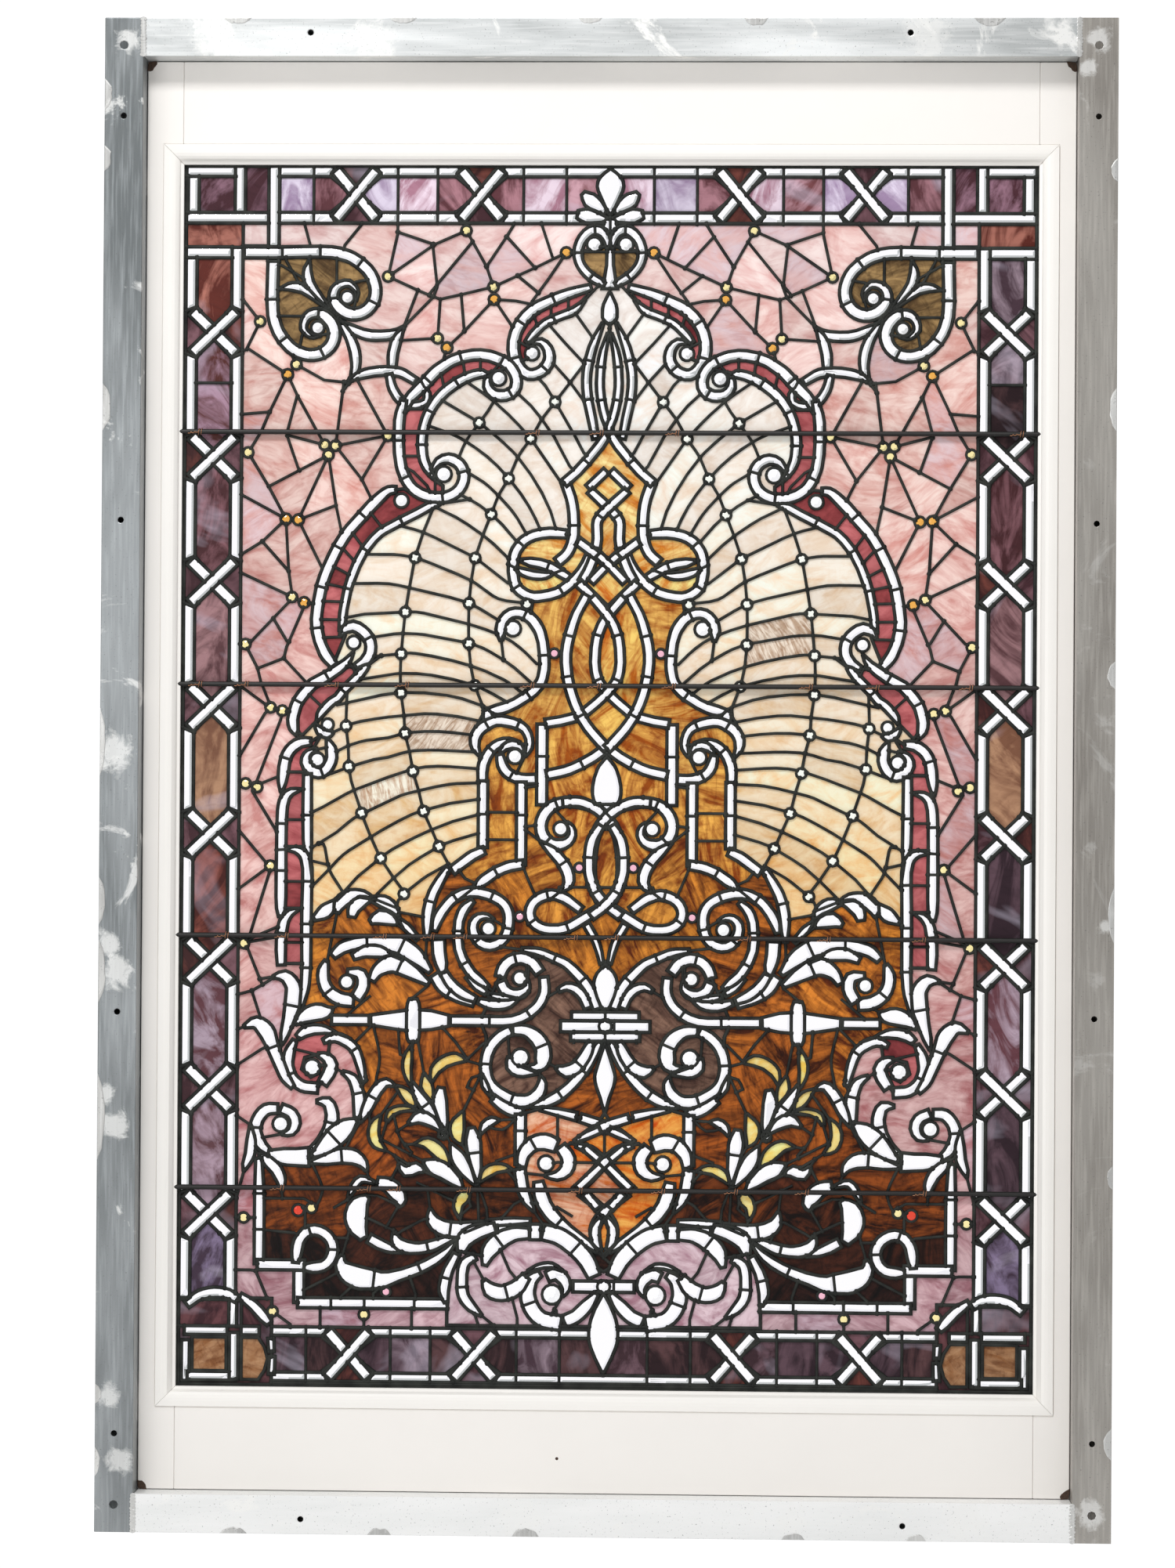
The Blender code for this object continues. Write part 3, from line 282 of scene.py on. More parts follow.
# Straps of the arch, drawn from the head down
ARCH = [
    [(24, 1407, 8), (55, 1397.5, 12), (77, 1388.5, 13), (99, 1377, 14), (116, 1357, 14), (123, 1332, 14),
     (117.5, 1307, 14), (103, 1295, 13), (87, 1299, 13), (77, 1313, 13), (79, 1328, 11), (88, 1337, 8),
     (98, 1336, 4)],
    [(32, 1390, 2), (45, 1377, 9), (60, 1371, 9), (82, 1361, 9), (98, 1346, 9), (106, 1336, 6)],
    [(264, 1247, 8), (256, 1263, 12), (240, 1279, 14), (220, 1300, 14), (195, 1315, 13), (165, 1320, 13),
     (143, 1315, 13), (128, 1306, 13), (119, 1290, 13), (121, 1275, 13), (133, 1268, 13), (148, 1270, 12),
     (156, 1280, 10), (155, 1292, 6), (150, 1298, 3)],
    [(153, 1293, 3), (162, 1296, 9), (180, 1292, 11), (200, 1281, 12), (218, 1265, 12), (232, 1243, 11),
     (239, 1215, 11), (238, 1190, 11), (232, 1174, 9), (224, 1162, 4)],
    [(263, 1262, 8), (268, 1240, 12), (269, 1215, 12), (268, 1190, 12), (263, 1168, 12), (250, 1148, 13),
     (230, 1138, 13), (207, 1138, 13), (191, 1148, 13), (185, 1165, 13), (191, 1180, 13), (205, 1187, 12),
     (218, 1183, 9), (226, 1172, 4)],
    [(272, 1147, 8), (281, 1146, 10), (300, 1130, 13), (318, 1110, 13), (334, 1092, 13), (346, 1073, 13),
     (357, 1050, 13), (363, 1035, 13), (367, 1022, 13), (371, 1000, 13), (373, 981, 13), (371.5, 964, 13),
     (367, 948, 13), (360, 934, 13), (350, 922, 10)],
    [(216, 1129, 3), (226, 1127, 9), (245, 1117, 10), (265, 1107, 10), (280, 1099, 10), (292, 1092, 10),
     (308, 1075, 10), (320, 1055, 10), (328, 1035, 10), (333, 1020, 9), (336, 1005, 9), (339, 988, 8.5),
     (340, 975, 8), (341, 966, 6)],
    [(342, 960, 3), (336, 968, 10), (326, 972, 13), (314, 966, 13), (306, 957, 13), (303, 946, 13),
     (305, 935, 13), (312, 926, 12), (323, 921, 6)],
    [(326, 938, 2), (334, 926, 9), (349, 914, 12), (364, 905, 13), (377, 898, 13), (386.5, 888, 13),
     (396, 875.5, 13), (400.5, 863, 13), (402.5, 852, 13), (401, 841, 11), (397, 833, 4)],
    [(306, 922, 4), (311, 918, 9), (319, 908, 10), (329, 898, 10), (338, 889, 10), (345, 880, 10),
     (353, 875, 10), (362, 866, 10), (368, 858, 8), (371, 851, 3)],
    [(373, 846, 3), (368, 838, 9), (358, 833.5, 10), (351, 836, 4)],
    [(358, 827, 3), (353.5, 816, 12), (352, 804, 13), (355.5, 794, 13), (361, 787, 13), (369, 784, 13),
     (379, 788, 13), (385.5, 798, 12), (384, 807, 9), (378, 812, 6), (371, 814, 3)],
    [(379, 824, 9), (392, 823, 12), (402, 817, 13), (409, 808, 13), (412.5, 797, 13), (414, 785, 13),
     (415.5, 772, 10), (416.5, 760, 3)],
    [(392, 762.5, 2), (403, 760, 8), (411, 753, 11), (414.5, 741.5, 12), (415.5, 728, 12), (416, 690, 12),
     (416, 610, 11), (416, 600, 6)],
    [(383, 783, 10), (383, 760, 11), (383, 720, 11), (382, 690, 10), (380, 674, 4)],
    [(409, 686, 2), (398, 686, 8), (388, 680, 11), (383.5, 669, 12), (382, 655, 12), (382.5, 640, 12),
     (383, 620, 12), (383, 560, 12), (383, 530, 11), (385, 505, 9), (390, 480, 3)],
    [(393, 609.5, 2), (403, 605.5, 8), (411, 596, 11), (414, 585, 12), (415.5, 572, 12), (415.5, 552, 12),
     (415, 538, 10)],
]

# The frame of straps round the middle
MIDDLE = [
    [(136, 955, 4), (137, 968, 12), (133, 981, 12), (124, 989, 12), (112.5, 990, 12), (99.5, 984, 13),
     (88.5, 970, 13), (83, 953, 12), (81, 936, 12), (81, 918, 12), (85, 902, 12), (95, 889.5, 12),
     (107, 881, 12), (122, 872, 12), (141, 866, 12), (155, 865, 4)],
    [(163, 808, 3), (168, 817, 9), (169, 828, 12), (164, 839, 13), (154, 847, 13), (142, 852, 12),
     (128, 851, 12), (114, 847, 11), (105, 841, 10), (99.5, 829, 9), (99.5, 818, 8), (104, 808, 3)],
    [(159, 775, 11), (159, 790, 12), (156, 802, 12), (148, 815, 11), (138, 823, 10), (125, 826.5, 7),
     (112, 824, 3)],
    [(136, 811, 3), (131, 818, 8), (121, 822, 10), (111.5, 819, 8), (107, 812, 3)],
    [(137, 809, 8), (134, 796, 12), (127.5, 786, 12), (116, 779.5, 12), (103, 777.5, 12), (90, 778, 12)],
    [(83, 848, 13), (83, 745, 13)],
    [(79, 849, 11), (60, 852, 11), (40, 857, 11)],
    [(77, 783, 12), (48, 790, 12), (17, 806, 12), (-3, 821, 12)],
    [(158, 775, 12), (158, 690, 12)],
    [(109, 774, 12), (109, 668, 12)],
    [(156, 686.5, 10), (170, 680, 12), (184, 670, 12), (197, 660, 12)],
    [(106, 669, 11), (122, 666.5, 12), (141, 659, 12), (159, 646, 12), (168, 639, 5)],
    [(202, 664, 7), (215, 643, 11), (223, 626, 12), (228, 603, 12), (228.5, 585, 9), (229, 572, 5)],
    [(219, 583, 6), (215, 598, 12), (206, 613, 12), (193, 626, 12), (174, 633, 12), (152, 630, 12),
     (135, 622, 12), (127.5, 614, 12), (124.5, 606, 12), (124, 594, 12), (127, 580, 12), (134, 570, 12),
     (148, 564.5, 12), (160, 568, 12), (168.5, 581, 12), (169, 593, 11), (162, 601, 9), (152, 602, 6),
     (144, 598, 3)],
    [(170, 622, 6), (181.5, 611, 11), (187.5, 596, 11), (188.5, 583, 11), (188.5, 566, 11), (186, 555, 11),
     (180, 542, 11), (170.5, 528.5, 11), (159, 519, 10), (150, 512, 5)],
    [(214, 572, 16), (213, 555, 16), (210, 541, 14), (208, 530, 8)],
    [(10, 741, 11), (29, 746, 12), (47, 749, 12), (58, 748, 12), (70, 743, 13), (80, 732, 14),
     (84, 718, 14), (80, 704, 14), (70, 695, 14), (59, 694, 13), (49, 698, 11), (43.5, 707, 9),
     (45, 716, 7), (50, 722, 3)],
    [(83, 697, 3), (70, 686.5, 11), (58.5, 675, 13), (50, 661, 14), (47.5, 648, 13), (51, 640.5, 9),
     (57.5, 635, 2)],
    [(10, 612, 11), (32, 598, 12), (49, 588.5, 12), (66, 585.5, 12), (83, 588, 12), (94, 596, 12),
     (97.5, 607, 12), (94, 618, 12), (85, 626, 12), (69.5, 630.5, 12), (53, 626, 12), (32, 611, 10)],
]

# The interlace up the middle; where it crosses the centre line, x is negative
KNOT = [
    [(53, 1091, 10), (75, 1092.5, 12), (95, 1089, 12), (108, 1082, 12), (117.5, 1070, 12),
     (121.5, 1055, 12), (121, 1037, 12), (117, 1023, 12), (106, 1014, 12), (95, 1010.5, 12), (80, 1012, 12),
     (65, 1016, 12), (50, 1026, 12), (38, 1038, 12), (30, 1049, 12), (24, 1064, 10)],
    [(118, 1047, 4), (108, 1042, 9), (95, 1038.5, 10), (80, 1038, 8), (70, 1041, 3)],
    [(111, 1057, 4), (100, 1055, 10), (87, 1053, 11), (72, 1048, 11), (60, 1041, 11), (50, 1035, 9)],
    [(55, 1157, 12), (47, 1133, 12), (44, 1108, 12), (45, 1085, 12), (52, 1067, 12), (65, 1055, 12)],
    [(2, 1219, 10), (12, 1204, 11), (25, 1188, 11), (40, 1171, 11), (57, 1156, 11)],
    [(3, 1172, 10), (14, 1161, 10), (26, 1150, 10)],
    [(24, 1147, 10), (9, 1133, 11), (-6, 1119, 11), (-14, 1108, 11), (-14, 1085, 11), (-18, 1063, 11),
     (-26, 1043, 11), (-34, 1030, 10)],
    [(39, 1082, 11), (20, 1068, 11), (0, 1053, 11)],
    [(-13, 1065, 10), (9, 1044, 10), (22, 1030, 10)],
    [(38, 1029, 11), (20, 1012, 11), (3, 995, 11)],
    [(-20, 1011, 11), (-7, 996, 11), (5, 980, 11), (12.5, 962, 11), (15.5, 945, 11), (16, 922, 11),
     (12, 905, 11), (3, 892, 11), (-10, 879, 11), (-30, 862, 11)],
    [(27, 1013, 11), (40, 989, 11), (49, 961, 12), (53, 938, 12), (52, 915, 12), (47, 891, 12),
     (39, 869, 12), (28, 849, 12), (9, 826, 12), (0, 817, 12)],
    [(56, 748, 12), (35, 749, 12), (13, 740, 12), (-2, 727, 12), (-13, 710, 12), (-18, 690, 12),
     (-20, 667, 12), (-18, 645, 12), (-8, 624, 12)],
    [(7, 719, 9), (18, 701, 12), (22, 678, 12), (21, 656, 12), (13, 634, 12), (0, 618, 12), (-19, 603, 11)],
    [(25, 593, 9), (19, 583, 9), (13, 572, 8), (8, 557, 7), (5, 543, 5)],
    [(9, 1360, 3), (18, 1340, 8), (25, 1318, 10), (29, 1293, 10), (28, 1268, 10), (22, 1238, 10),
     (17, 1213, 8)],
    [(2, 1347, 3), (9, 1320, 8), (12, 1290, 9), (11, 1268, 9), (5, 1240, 9), (-2, 1222, 8)],
]

# Scrolls, leaves and straps of the lower half
LOWER = [
    [(107, 560, 5), (85, 557, 9), (65, 549, 10), (50, 542, 11), (38, 531, 12), (25, 517, 12), (16, 502, 12),
     (10, 485, 11)],
    [(60, 508, 5), (50, 513, 9), (38, 510, 11), (28, 500, 11), (22, 486, 10)],
    [(135, 525, 12), (131, 536, 14), (122, 545.5, 14), (108, 549, 14), (94, 543.5, 14), (84, 531, 13)],
    [(134, 519, 13), (129, 509, 13), (118, 503, 13), (106, 505, 12), (100, 512, 8), (99, 520, 3)],
    [(79, 525, 11), (78, 506, 12), (84.5, 491, 12), (98, 478, 12), (112.5, 471, 12), (126, 468.5, 12),
     (160, 468.5, 12), (198, 468.5, 12)],
    [(149, 502, 5), (135, 499, 8), (116, 497, 3)],
    [(162, 494, 7), (150, 490, 11), (136, 489, 12), (122, 491, 9), (112, 497, 3)],
    [(219, 527, 12), (208, 512, 15), (189, 500, 14), (168, 491, 9)],
    [(207, 530, 10), (197, 515, 12), (182, 503, 12), (166, 496, 8)],
    [(176, 526, 8), (163, 512, 10), (152, 504, 6)],
    [(350, 468.5, 12), (302, 468.5, 12)],
    [(300, 468.5, 13), (270, 468.5, 22), (254, 468.5, 26)],
    [(245.5, 496, 10), (245.5, 490, 15), (245.5, 446, 15), (245.5, 441, 10)],
    [(237, 469, 26), (222, 469, 24), (200, 468.5, 14)],
    [(396, 463, 4), (384, 473, 17), (369, 478, 21), (356, 479, 15), (349, 483, 3)],
    [(393, 446, 8), (385, 452.5, 12), (373, 456, 12), (358, 455.5, 9), (344, 451, 3)],
    [(397, 442, 6), (404, 426, 12), (405.5, 409, 13), (400, 394, 13), (387, 383.5, 13), (367, 381, 13)],
    [(361, 387, 13), (353.5, 399, 15), (350, 411, 15), (356, 420, 12), (367, 423.5, 5)],
    [(360, 441, 6), (346, 446, 11), (332, 441.5, 12), (320, 431, 11), (313, 412, 10), (308, 390, 5)],
    [(335, 401.5, 4), (323, 394, 11), (315, 375, 14), (314, 354, 14), (318, 344, 5)],
    [(425, 523, 3), (411, 524, 14), (400, 512, 18), (399.5, 492, 20), (405, 468, 14), (410, 450, 10),
     (413.5, 437, 3)],
    [(462, 459, 4), (447, 464, 15), (434, 454, 20), (425, 433, 15), (416, 411, 13), (408, 393, 11),
     (399, 382, 6)],
    [(418, 354.5, 12), (433, 353, 14), (444, 340, 14), (446.5, 325, 14), (440, 309, 13), (428, 298, 8)],
    [(414, 355, 12), (400, 348, 13), (395.5, 336, 13), (401, 325, 10), (412, 322, 3)],
    [(430, 296, 10), (411, 293.5, 20), (394, 292.5, 22), (378, 293, 24)],
    [(368, 364, 4), (355, 363, 13), (348.5, 348, 15), (351, 331, 15), (362, 314, 11), (377, 302, 4)],
    [(317, 341, 4), (328, 333, 20), (342, 321, 26), (357, 307, 20), (374, 294, 5)],
    [(376, 286, 4), (356, 290, 13), (336, 295, 19), (319, 293, 18), (308, 285, 11), (304, 276, 3)],
    [(453, 331, 3), (452, 314, 11), (453.5, 296, 12), (459, 282, 8), (461, 275, 2)],
    [(441, 296, 3), (430, 287, 13), (419, 276, 14), (413, 262, 11), (412, 250, 3)],
    [(442, 291, 8), (441, 250, 12), (441, 156, 12)],
    [(443, 155, 13), (382, 155, 13)],
    [(394, 158, 8), (392.5, 172, 13), (390, 185, 13), (382, 196, 13), (370, 200, 13), (358, 196, 13),
     (349, 187, 13), (346, 175, 13), (350, 162, 13), (359, 154, 13), (372, 152, 13), (383, 152, 8)],
    [(389.5, 148, 13), (389.5, 107, 13)],
    [(391, 107, 13), (199, 107, 13)],
    [(294, 261, 4), (311, 265, 9), (322, 252, 8), (326, 243, 3)],
    [(302, 243, 6), (312, 234, 22), (317, 220, 28), (315, 205, 24), (307, 190, 10)],
    [(300, 190, 12), (287, 183, 13), (272, 177, 10), (258, 173, 3)],
    [(334, 168, 4), (336, 157, 14), (328, 147, 24), (314, 140, 28), (299, 138, 26), (283, 137, 20),
     (262, 143, 14), (245, 148.5, 13), (226, 157, 12), (211, 166, 11), (200, 175, 8), (189, 188, 3)],
    [(268, 197, 5), (264, 185, 14), (252, 179, 15), (236, 178, 13), (220, 181, 13), (205, 187, 10),
     (190, 193, 6), (178, 198, 2)],
    [(222, 228, 3), (219, 214, 15), (208, 205, 19), (190, 201.5, 19), (170, 203, 18), (152, 206, 15)],
    [(150, 211, 8), (120, 213, 9), (94, 214, 6)],
    [(290, 262, 12), (276, 258, 18), (266, 249, 20), (260, 238, 14), (263, 231, 4)],
    [(278, 340, 4), (274, 350, 9), (262, 355.5, 8), (250, 356, 6), (240, 354, 2)],
    [(287, 346, 3), (294, 335, 12), (295, 321, 14), (290, 310, 12), (280, 303, 3)],
    [(313, 338, 3), (305, 353, 12), (297, 370, 14), (288, 383, 13), (279, 389, 10), (269, 385, 3)],
    [(246, 389, 3), (238, 373, 12), (226, 356, 14), (215, 340, 10), (208, 328, 3)],
    [(209, 383, 8), (211, 366, 18), (208, 350, 14), (205, 337, 9), (204, 329, 3)],
    [(250, 337, 4), (236, 345, 15), (222, 340, 13), (209, 328, 3)],
    [(231, 400, 3), (228, 386, 15), (223, 373, 9), (220, 365, 2)],
    [(266, 384, 3), (256, 376, 13), (247, 365, 12), (242, 358, 2)],
    [(221, 391, 3), (217, 405, 12), (205, 416, 14), (190, 420.5, 13), (178, 418, 3)],
    [(248, 436, 2), (252, 421, 11), (253, 408, 11), (251, 396, 8), (248, 386, 2)],
    [(181, 352, 3), (188, 335, 18), (187, 320, 14), (182, 311, 2)],
    [(170, 332, 8), (168, 318, 18), (166, 300, 17), (163, 281, 12), (162, 263, 2)],
    [(196, 311, 3), (188, 296, 17), (179, 281, 17), (170, 267, 9), (164, 258, 2)],
    [(242, 311, 2), (227, 312, 14), (212, 302, 17), (203, 290, 11), (198, 284, 2)],
    [(231, 289, 3), (219, 283, 19), (204, 276, 20), (190, 265, 15), (181, 255, 3)],
    [(158, 325, 3), (153, 335, 10), (143, 341, 10), (135, 342, 2)],
    [(159, 263, 2), (150, 275, 13), (138, 281, 12), (126, 281, 8), (118, 279, 2)],
    [(172, 249, 4), (178, 245, 16), (186, 235, 13), (186, 226, 9), (184, 217, 2)],
    [(262, 286, 3), (254, 276, 13), (240, 280, 14), (230, 276, 3)],
    [(120, 457, 12), (133, 450, 13), (146, 436, 13), (152, 419, 13), (152, 403, 13), (145, 387, 12),
     (130, 374, 14), (113, 367, 15), (96, 368, 15), (84, 378, 14), (80, 390, 10), (82, 398, 3)],
    [(118, 457, 12), (102, 456.5, 14), (87, 447, 18), (79, 432, 19), (80, 418, 19), (86, 410, 12),
     (97, 411, 3)],
    [(122, 423, 5), (120, 411, 12), (110, 404.5, 13), (98, 403, 9), (86, 402, 2)],
    [(157, 400, 2), (153, 386, 8), (146, 374, 3)],
    [(143, 370, 10), (128, 359, 13), (112, 353, 12), (104, 356, 4)],
    [(94, 360, 3), (76, 365, 11), (57, 375, 13), (41, 389, 12), (34, 397, 12), (21, 415, 11), (11, 434, 10),
     (6, 442, 6)],
    [(62, 410, 4), (50, 405, 15), (37, 410, 15), (26, 424, 14), (20, 437, 11), (18, 443, 6)],
    [(43, 475.5, 11), (-43, 475.5, 11)],
    [(57, 462.5, 14), (-57, 462.5, 14)],
    [(44, 449.5, 11), (-44, 449.5, 11)],
    [(107.5, 350, 13), (107.5, 286, 13)],
    [(108, 280, 14), (104, 255, 14), (97, 238, 10), (89, 226, 2)],
    [(82, 357, 5), (60, 353, 9), (36, 347.5, 11)],
    [(31, 346, 11), (9, 339, 12), (-15, 328, 12), (-36, 316, 6)],
    [(6, 331, 9), (22, 324, 9), (38, 316, 4)],
    [(36, 311, 5), (19, 305, 11), (0, 289, 12), (-19, 269, 12), (-36, 253, 12)],
    [(-26, 309, 9), (-7, 293, 9)],
    [(4, 285, 9), (17, 272, 10), (34, 256, 10)],
    [(30, 251, 11), (9, 234.5, 11), (-6, 218, 12), (-12, 203, 12), (-9, 187, 10), (-4, 178, 3)],
    [(-24, 250, 10), (-8, 231, 10)],
    [(4, 218, 5), (11, 205, 11), (10, 188, 10), (4, 178, 3)],
    [(84, 264, 12), (81, 248, 17), (76, 235, 17), (65, 220, 16), (49, 206, 12), (36, 197, 10), (21, 186, 9),
     (8, 175, 3)],
    [(106, 283, 11), (103, 299, 15), (91, 312, 18), (76, 315, 20), (61, 310, 17)],
    [(56, 309, 14), (46, 294, 17), (49, 279, 16), (61, 271.5, 11), (75, 272, 3)],
    [(72, 143, 13), (60, 147, 16), (50, 138, 14), (48, 127, 9), (52, 119, 3)],
    [(81, 147, 8), (92, 139, 15), (97, 121, 18), (92, 103, 19), (79, 89, 19), (54, 84, 19)],
    [(50, 86, 16), (35, 93, 16), (21, 107, 15), (9, 122, 6)],
    [(96, 150, 3), (82, 156, 6), (66, 157.5, 6), (53, 151, 2)],
    [(78, 200, 20), (58, 195, 21), (36, 180, 21), (21, 163, 20), (12, 144, 16)],
    [(87.5, 210, 14), (87.5, 190, 14)],
    [(136, 203, 9), (96, 204, 11)],
    [(152, 157, 6), (147, 174, 18), (134, 188, 21), (115, 197, 17), (95, 198, 13)],
    [(182, 174, 10), (177, 190, 20), (163, 199, 19), (139, 205, 12)],
    [(153, 138, 5), (145, 126, 18), (130, 121.5, 19), (112, 128, 19), (99, 143, 12)],
    [(188, 171, 9), (200, 146, 12), (204, 123, 12), (201, 109, 5)],
    [(164, 168, 9), (177, 160, 12), (181, 140, 12), (179, 118, 13), (168, 103, 11), (156, 93, 3)],
    [(39, 131, 14), (-39, 131, 14)],
    [(349, 550, 9), (338, 560, 14), (320, 566, 15), (290, 567, 18), (266, 565, 22), (243, 551, 20),
     (224, 531, 6)],
    [(323, 549, 8), (308, 556, 14), (289, 556, 14), (272, 550, 4)],
    [(299, 519, 8), (291, 532, 15), (272, 541, 22), (249, 531, 18), (226, 516, 6)],
    [(357, 544, 5), (361, 532, 13), (360.5, 518, 14), (354, 505, 15), (340, 495.5, 16), (322, 493, 15)],
    [(319, 496, 14), (310, 513, 15), (313, 527, 14), (330, 530, 7)],
    [(374, 597, 5), (359, 607, 17), (344, 621, 5)],
    [(344, 605, 5), (341, 616, 15), (330, 626, 16), (310, 628, 11), (298, 624, 3)],
    [(325, 600, 9), (322.5, 611, 15), (312, 620, 14), (301, 622, 4)],
    [(301, 623, 5), (285, 620, 15), (272, 612, 12), (265, 602, 3)],
    [(301, 594, 6), (289, 600, 18), (275, 597, 14), (267, 591, 3)],
    [(264, 598, 3), (255, 588, 9), (240, 572, 6)],
]

# Jewels: star-cut ones in the scrolls (x, z, radius), and small ones where leads meet (x, z)
EYES = [
    (336, 1393, 8.5), (374, 1354, 8.5), (99, 1322, 9), (141.5, 1290, 9.5), (211, 1167, 10), (265, 1133, 9),
    (325, 951, 8.5), (357.5, 846, 7.5), (370.5, 801, 9), (121, 970, 10), (117.5, 806.5, 9.5),
    (58.5, 714.5, 9), (150, 586.5, 9), (109.5, 523.5, 9), (374.5, 407.5, 10.5), (414.5, 335, 10),
    (108, 422.5, 11), (74.5, 287.5, 10), (66, 120.5, 12.5), (331, 517, 9), (206.5, 323, 5),
    (20.2, 1461.5, 9.5),
]
WEB_JEWELS = [
    (69, 1260), (100, 1213), (166, 1233), (128, 1162), (150, 1116), (170, 1060), (247, 1060), (259, 990.5),
    (264, 937), (264, 887), (258.5, 835.5), (248, 787), (177.5, 1002), (177.5, 950.5), (169.5, 897),
    (334, 844.5), (330, 792.5), (313.5, 733), (288.5, 675.5), (234, 736), (214, 691), (258.5, 630),
]
PALE_JEWELS = [
    (284, 1420), (184, 1479), (149, 1407), (220, 1341), (448, 1362), (401, 1307), (462, 1194), (364, 1204),
    (350, 1203), (359, 1191), (283, 1216), (404.5, 1009), (464, 948.5), (431, 867.5), (416, 863.5),
    (462.5, 770), (447.5, 765.5), (430, 665), (463, 565.5), (461, 215), (423, 95.5), (306, 92.5),
    (374, 228),
]
WARM_JEWELS = [
    (56, 1451), (148, 1391), (208, 1329), (412, 1294), (413, 1109), (397, 1108), (389, 1002),
]

# Finial, bulbs and drops on the centre line, as (kind, path)
CENTRE = [
    [(0, 1558, 2), (0, 1548, 26), (0, 1536, 34), (0, 1524, 26), (0, 1512, 15), (0, 1500, 4)],
    [(0, 541, 2), (0, 531, 21), (0, 518, 30), (0, 505, 25), (0, 485, 9)],
    [(0, 439, 2), (0, 414, 18), (0, 399, 26), (0, 386, 22), (0, 371, 11), (0, 354, 2)],
    [(0, 121, 2), (0, 102, 22), (0, 83, 35), (0, 64.5, 37), (0, 46, 26), (0, 22, 3)],
    [(0, 806, 2), (0, 795, 20), (0, 775, 34), (0, 758, 36), (0, 746, 30)],
    [(0, 1399, 3), (0, 1385, 16), (0, 1373, 19), (0, 1365, 16), (0, 1360, 4)],
]
FINIAL = [
    [(6, 1502, 6), (16, 1511, 15), (27, 1519, 18), (35, 1527, 6)],
    [(4, 1493, 6), (18, 1496, 13), (30, 1498, 18), (42, 1500, 10)],
    [(3.5, 1456, 3), (4, 1466, 8), (9, 1476, 11), (19.5, 1480.5, 12), (30, 1475, 12), (38, 1464, 11),
     (41, 1451, 11),
     (39.5, 1440, 10), (34, 1430, 10), (24, 1420, 10), (12, 1413, 9), (7, 1410, 6)],
]

# The heart-shaped bracket in each head corner: one side, mirrored about the corner's diagonal
BRACKET_STRAP = [
    (469, 1450.5, 14), (420, 1450.5, 14), (367, 1451.5, 14), (347, 1449.5, 14), (330, 1443.5, 14),
    (315.5, 1433.5, 14),
    (306.5, 1423, 14), (301, 1409.5, 14), (300, 1398, 14), (303, 1387, 14.5), (310.5, 1377.5, 15),
    (320, 1372.5, 15),
    (330, 1371.5, 15), (341.5, 1375.5, 15), (350, 1383.5, 14), (354, 1392, 12), (352, 1403, 11),
    (344.5, 1409.5, 9),
    (334, 1411, 8), (327, 1405.5, 6), (323.5, 1398, 4), (325, 1390, 2),
]
BRACKET_LEAF = [
    (385, 1441.5, 1), (387.5, 1431, 8), (387.5, 1421, 11), (385, 1411.5, 11), (378.5, 1402, 9),
    (368.5, 1390, 6),
    (359, 1378.5, 2),
]
TENDRILS = [
    [(341.5, 1360, 4), (328, 1351.5, 10), (310.5, 1345, 12), (293, 1344, 12), (279.5, 1345.5, 11),
     (270, 1349.5, 8),
     (262, 1357, 1)],
    [(348, 1367, 3), (341.5, 1355.5, 7), (334, 1344, 10), (328, 1330.5, 12), (325, 1316.5, 12),
     (325, 1303, 10),
     (328, 1291.5, 7), (333, 1284, 1)],
    [(334, 1286, 2), (318, 1294, 10), (290, 1299, 11), (268, 1297, 11), (248, 1286, 9)],
    [(264, 1355, 2), (272, 1340, 11), (277, 1322, 12), (278, 1304, 10)],
    [(282, 1295, 8), (277, 1276, 10), (265, 1260, 10), (248, 1255, 9), (235, 1260, 8), (233, 1270, 8),
     (237, 1279, 4)],
]

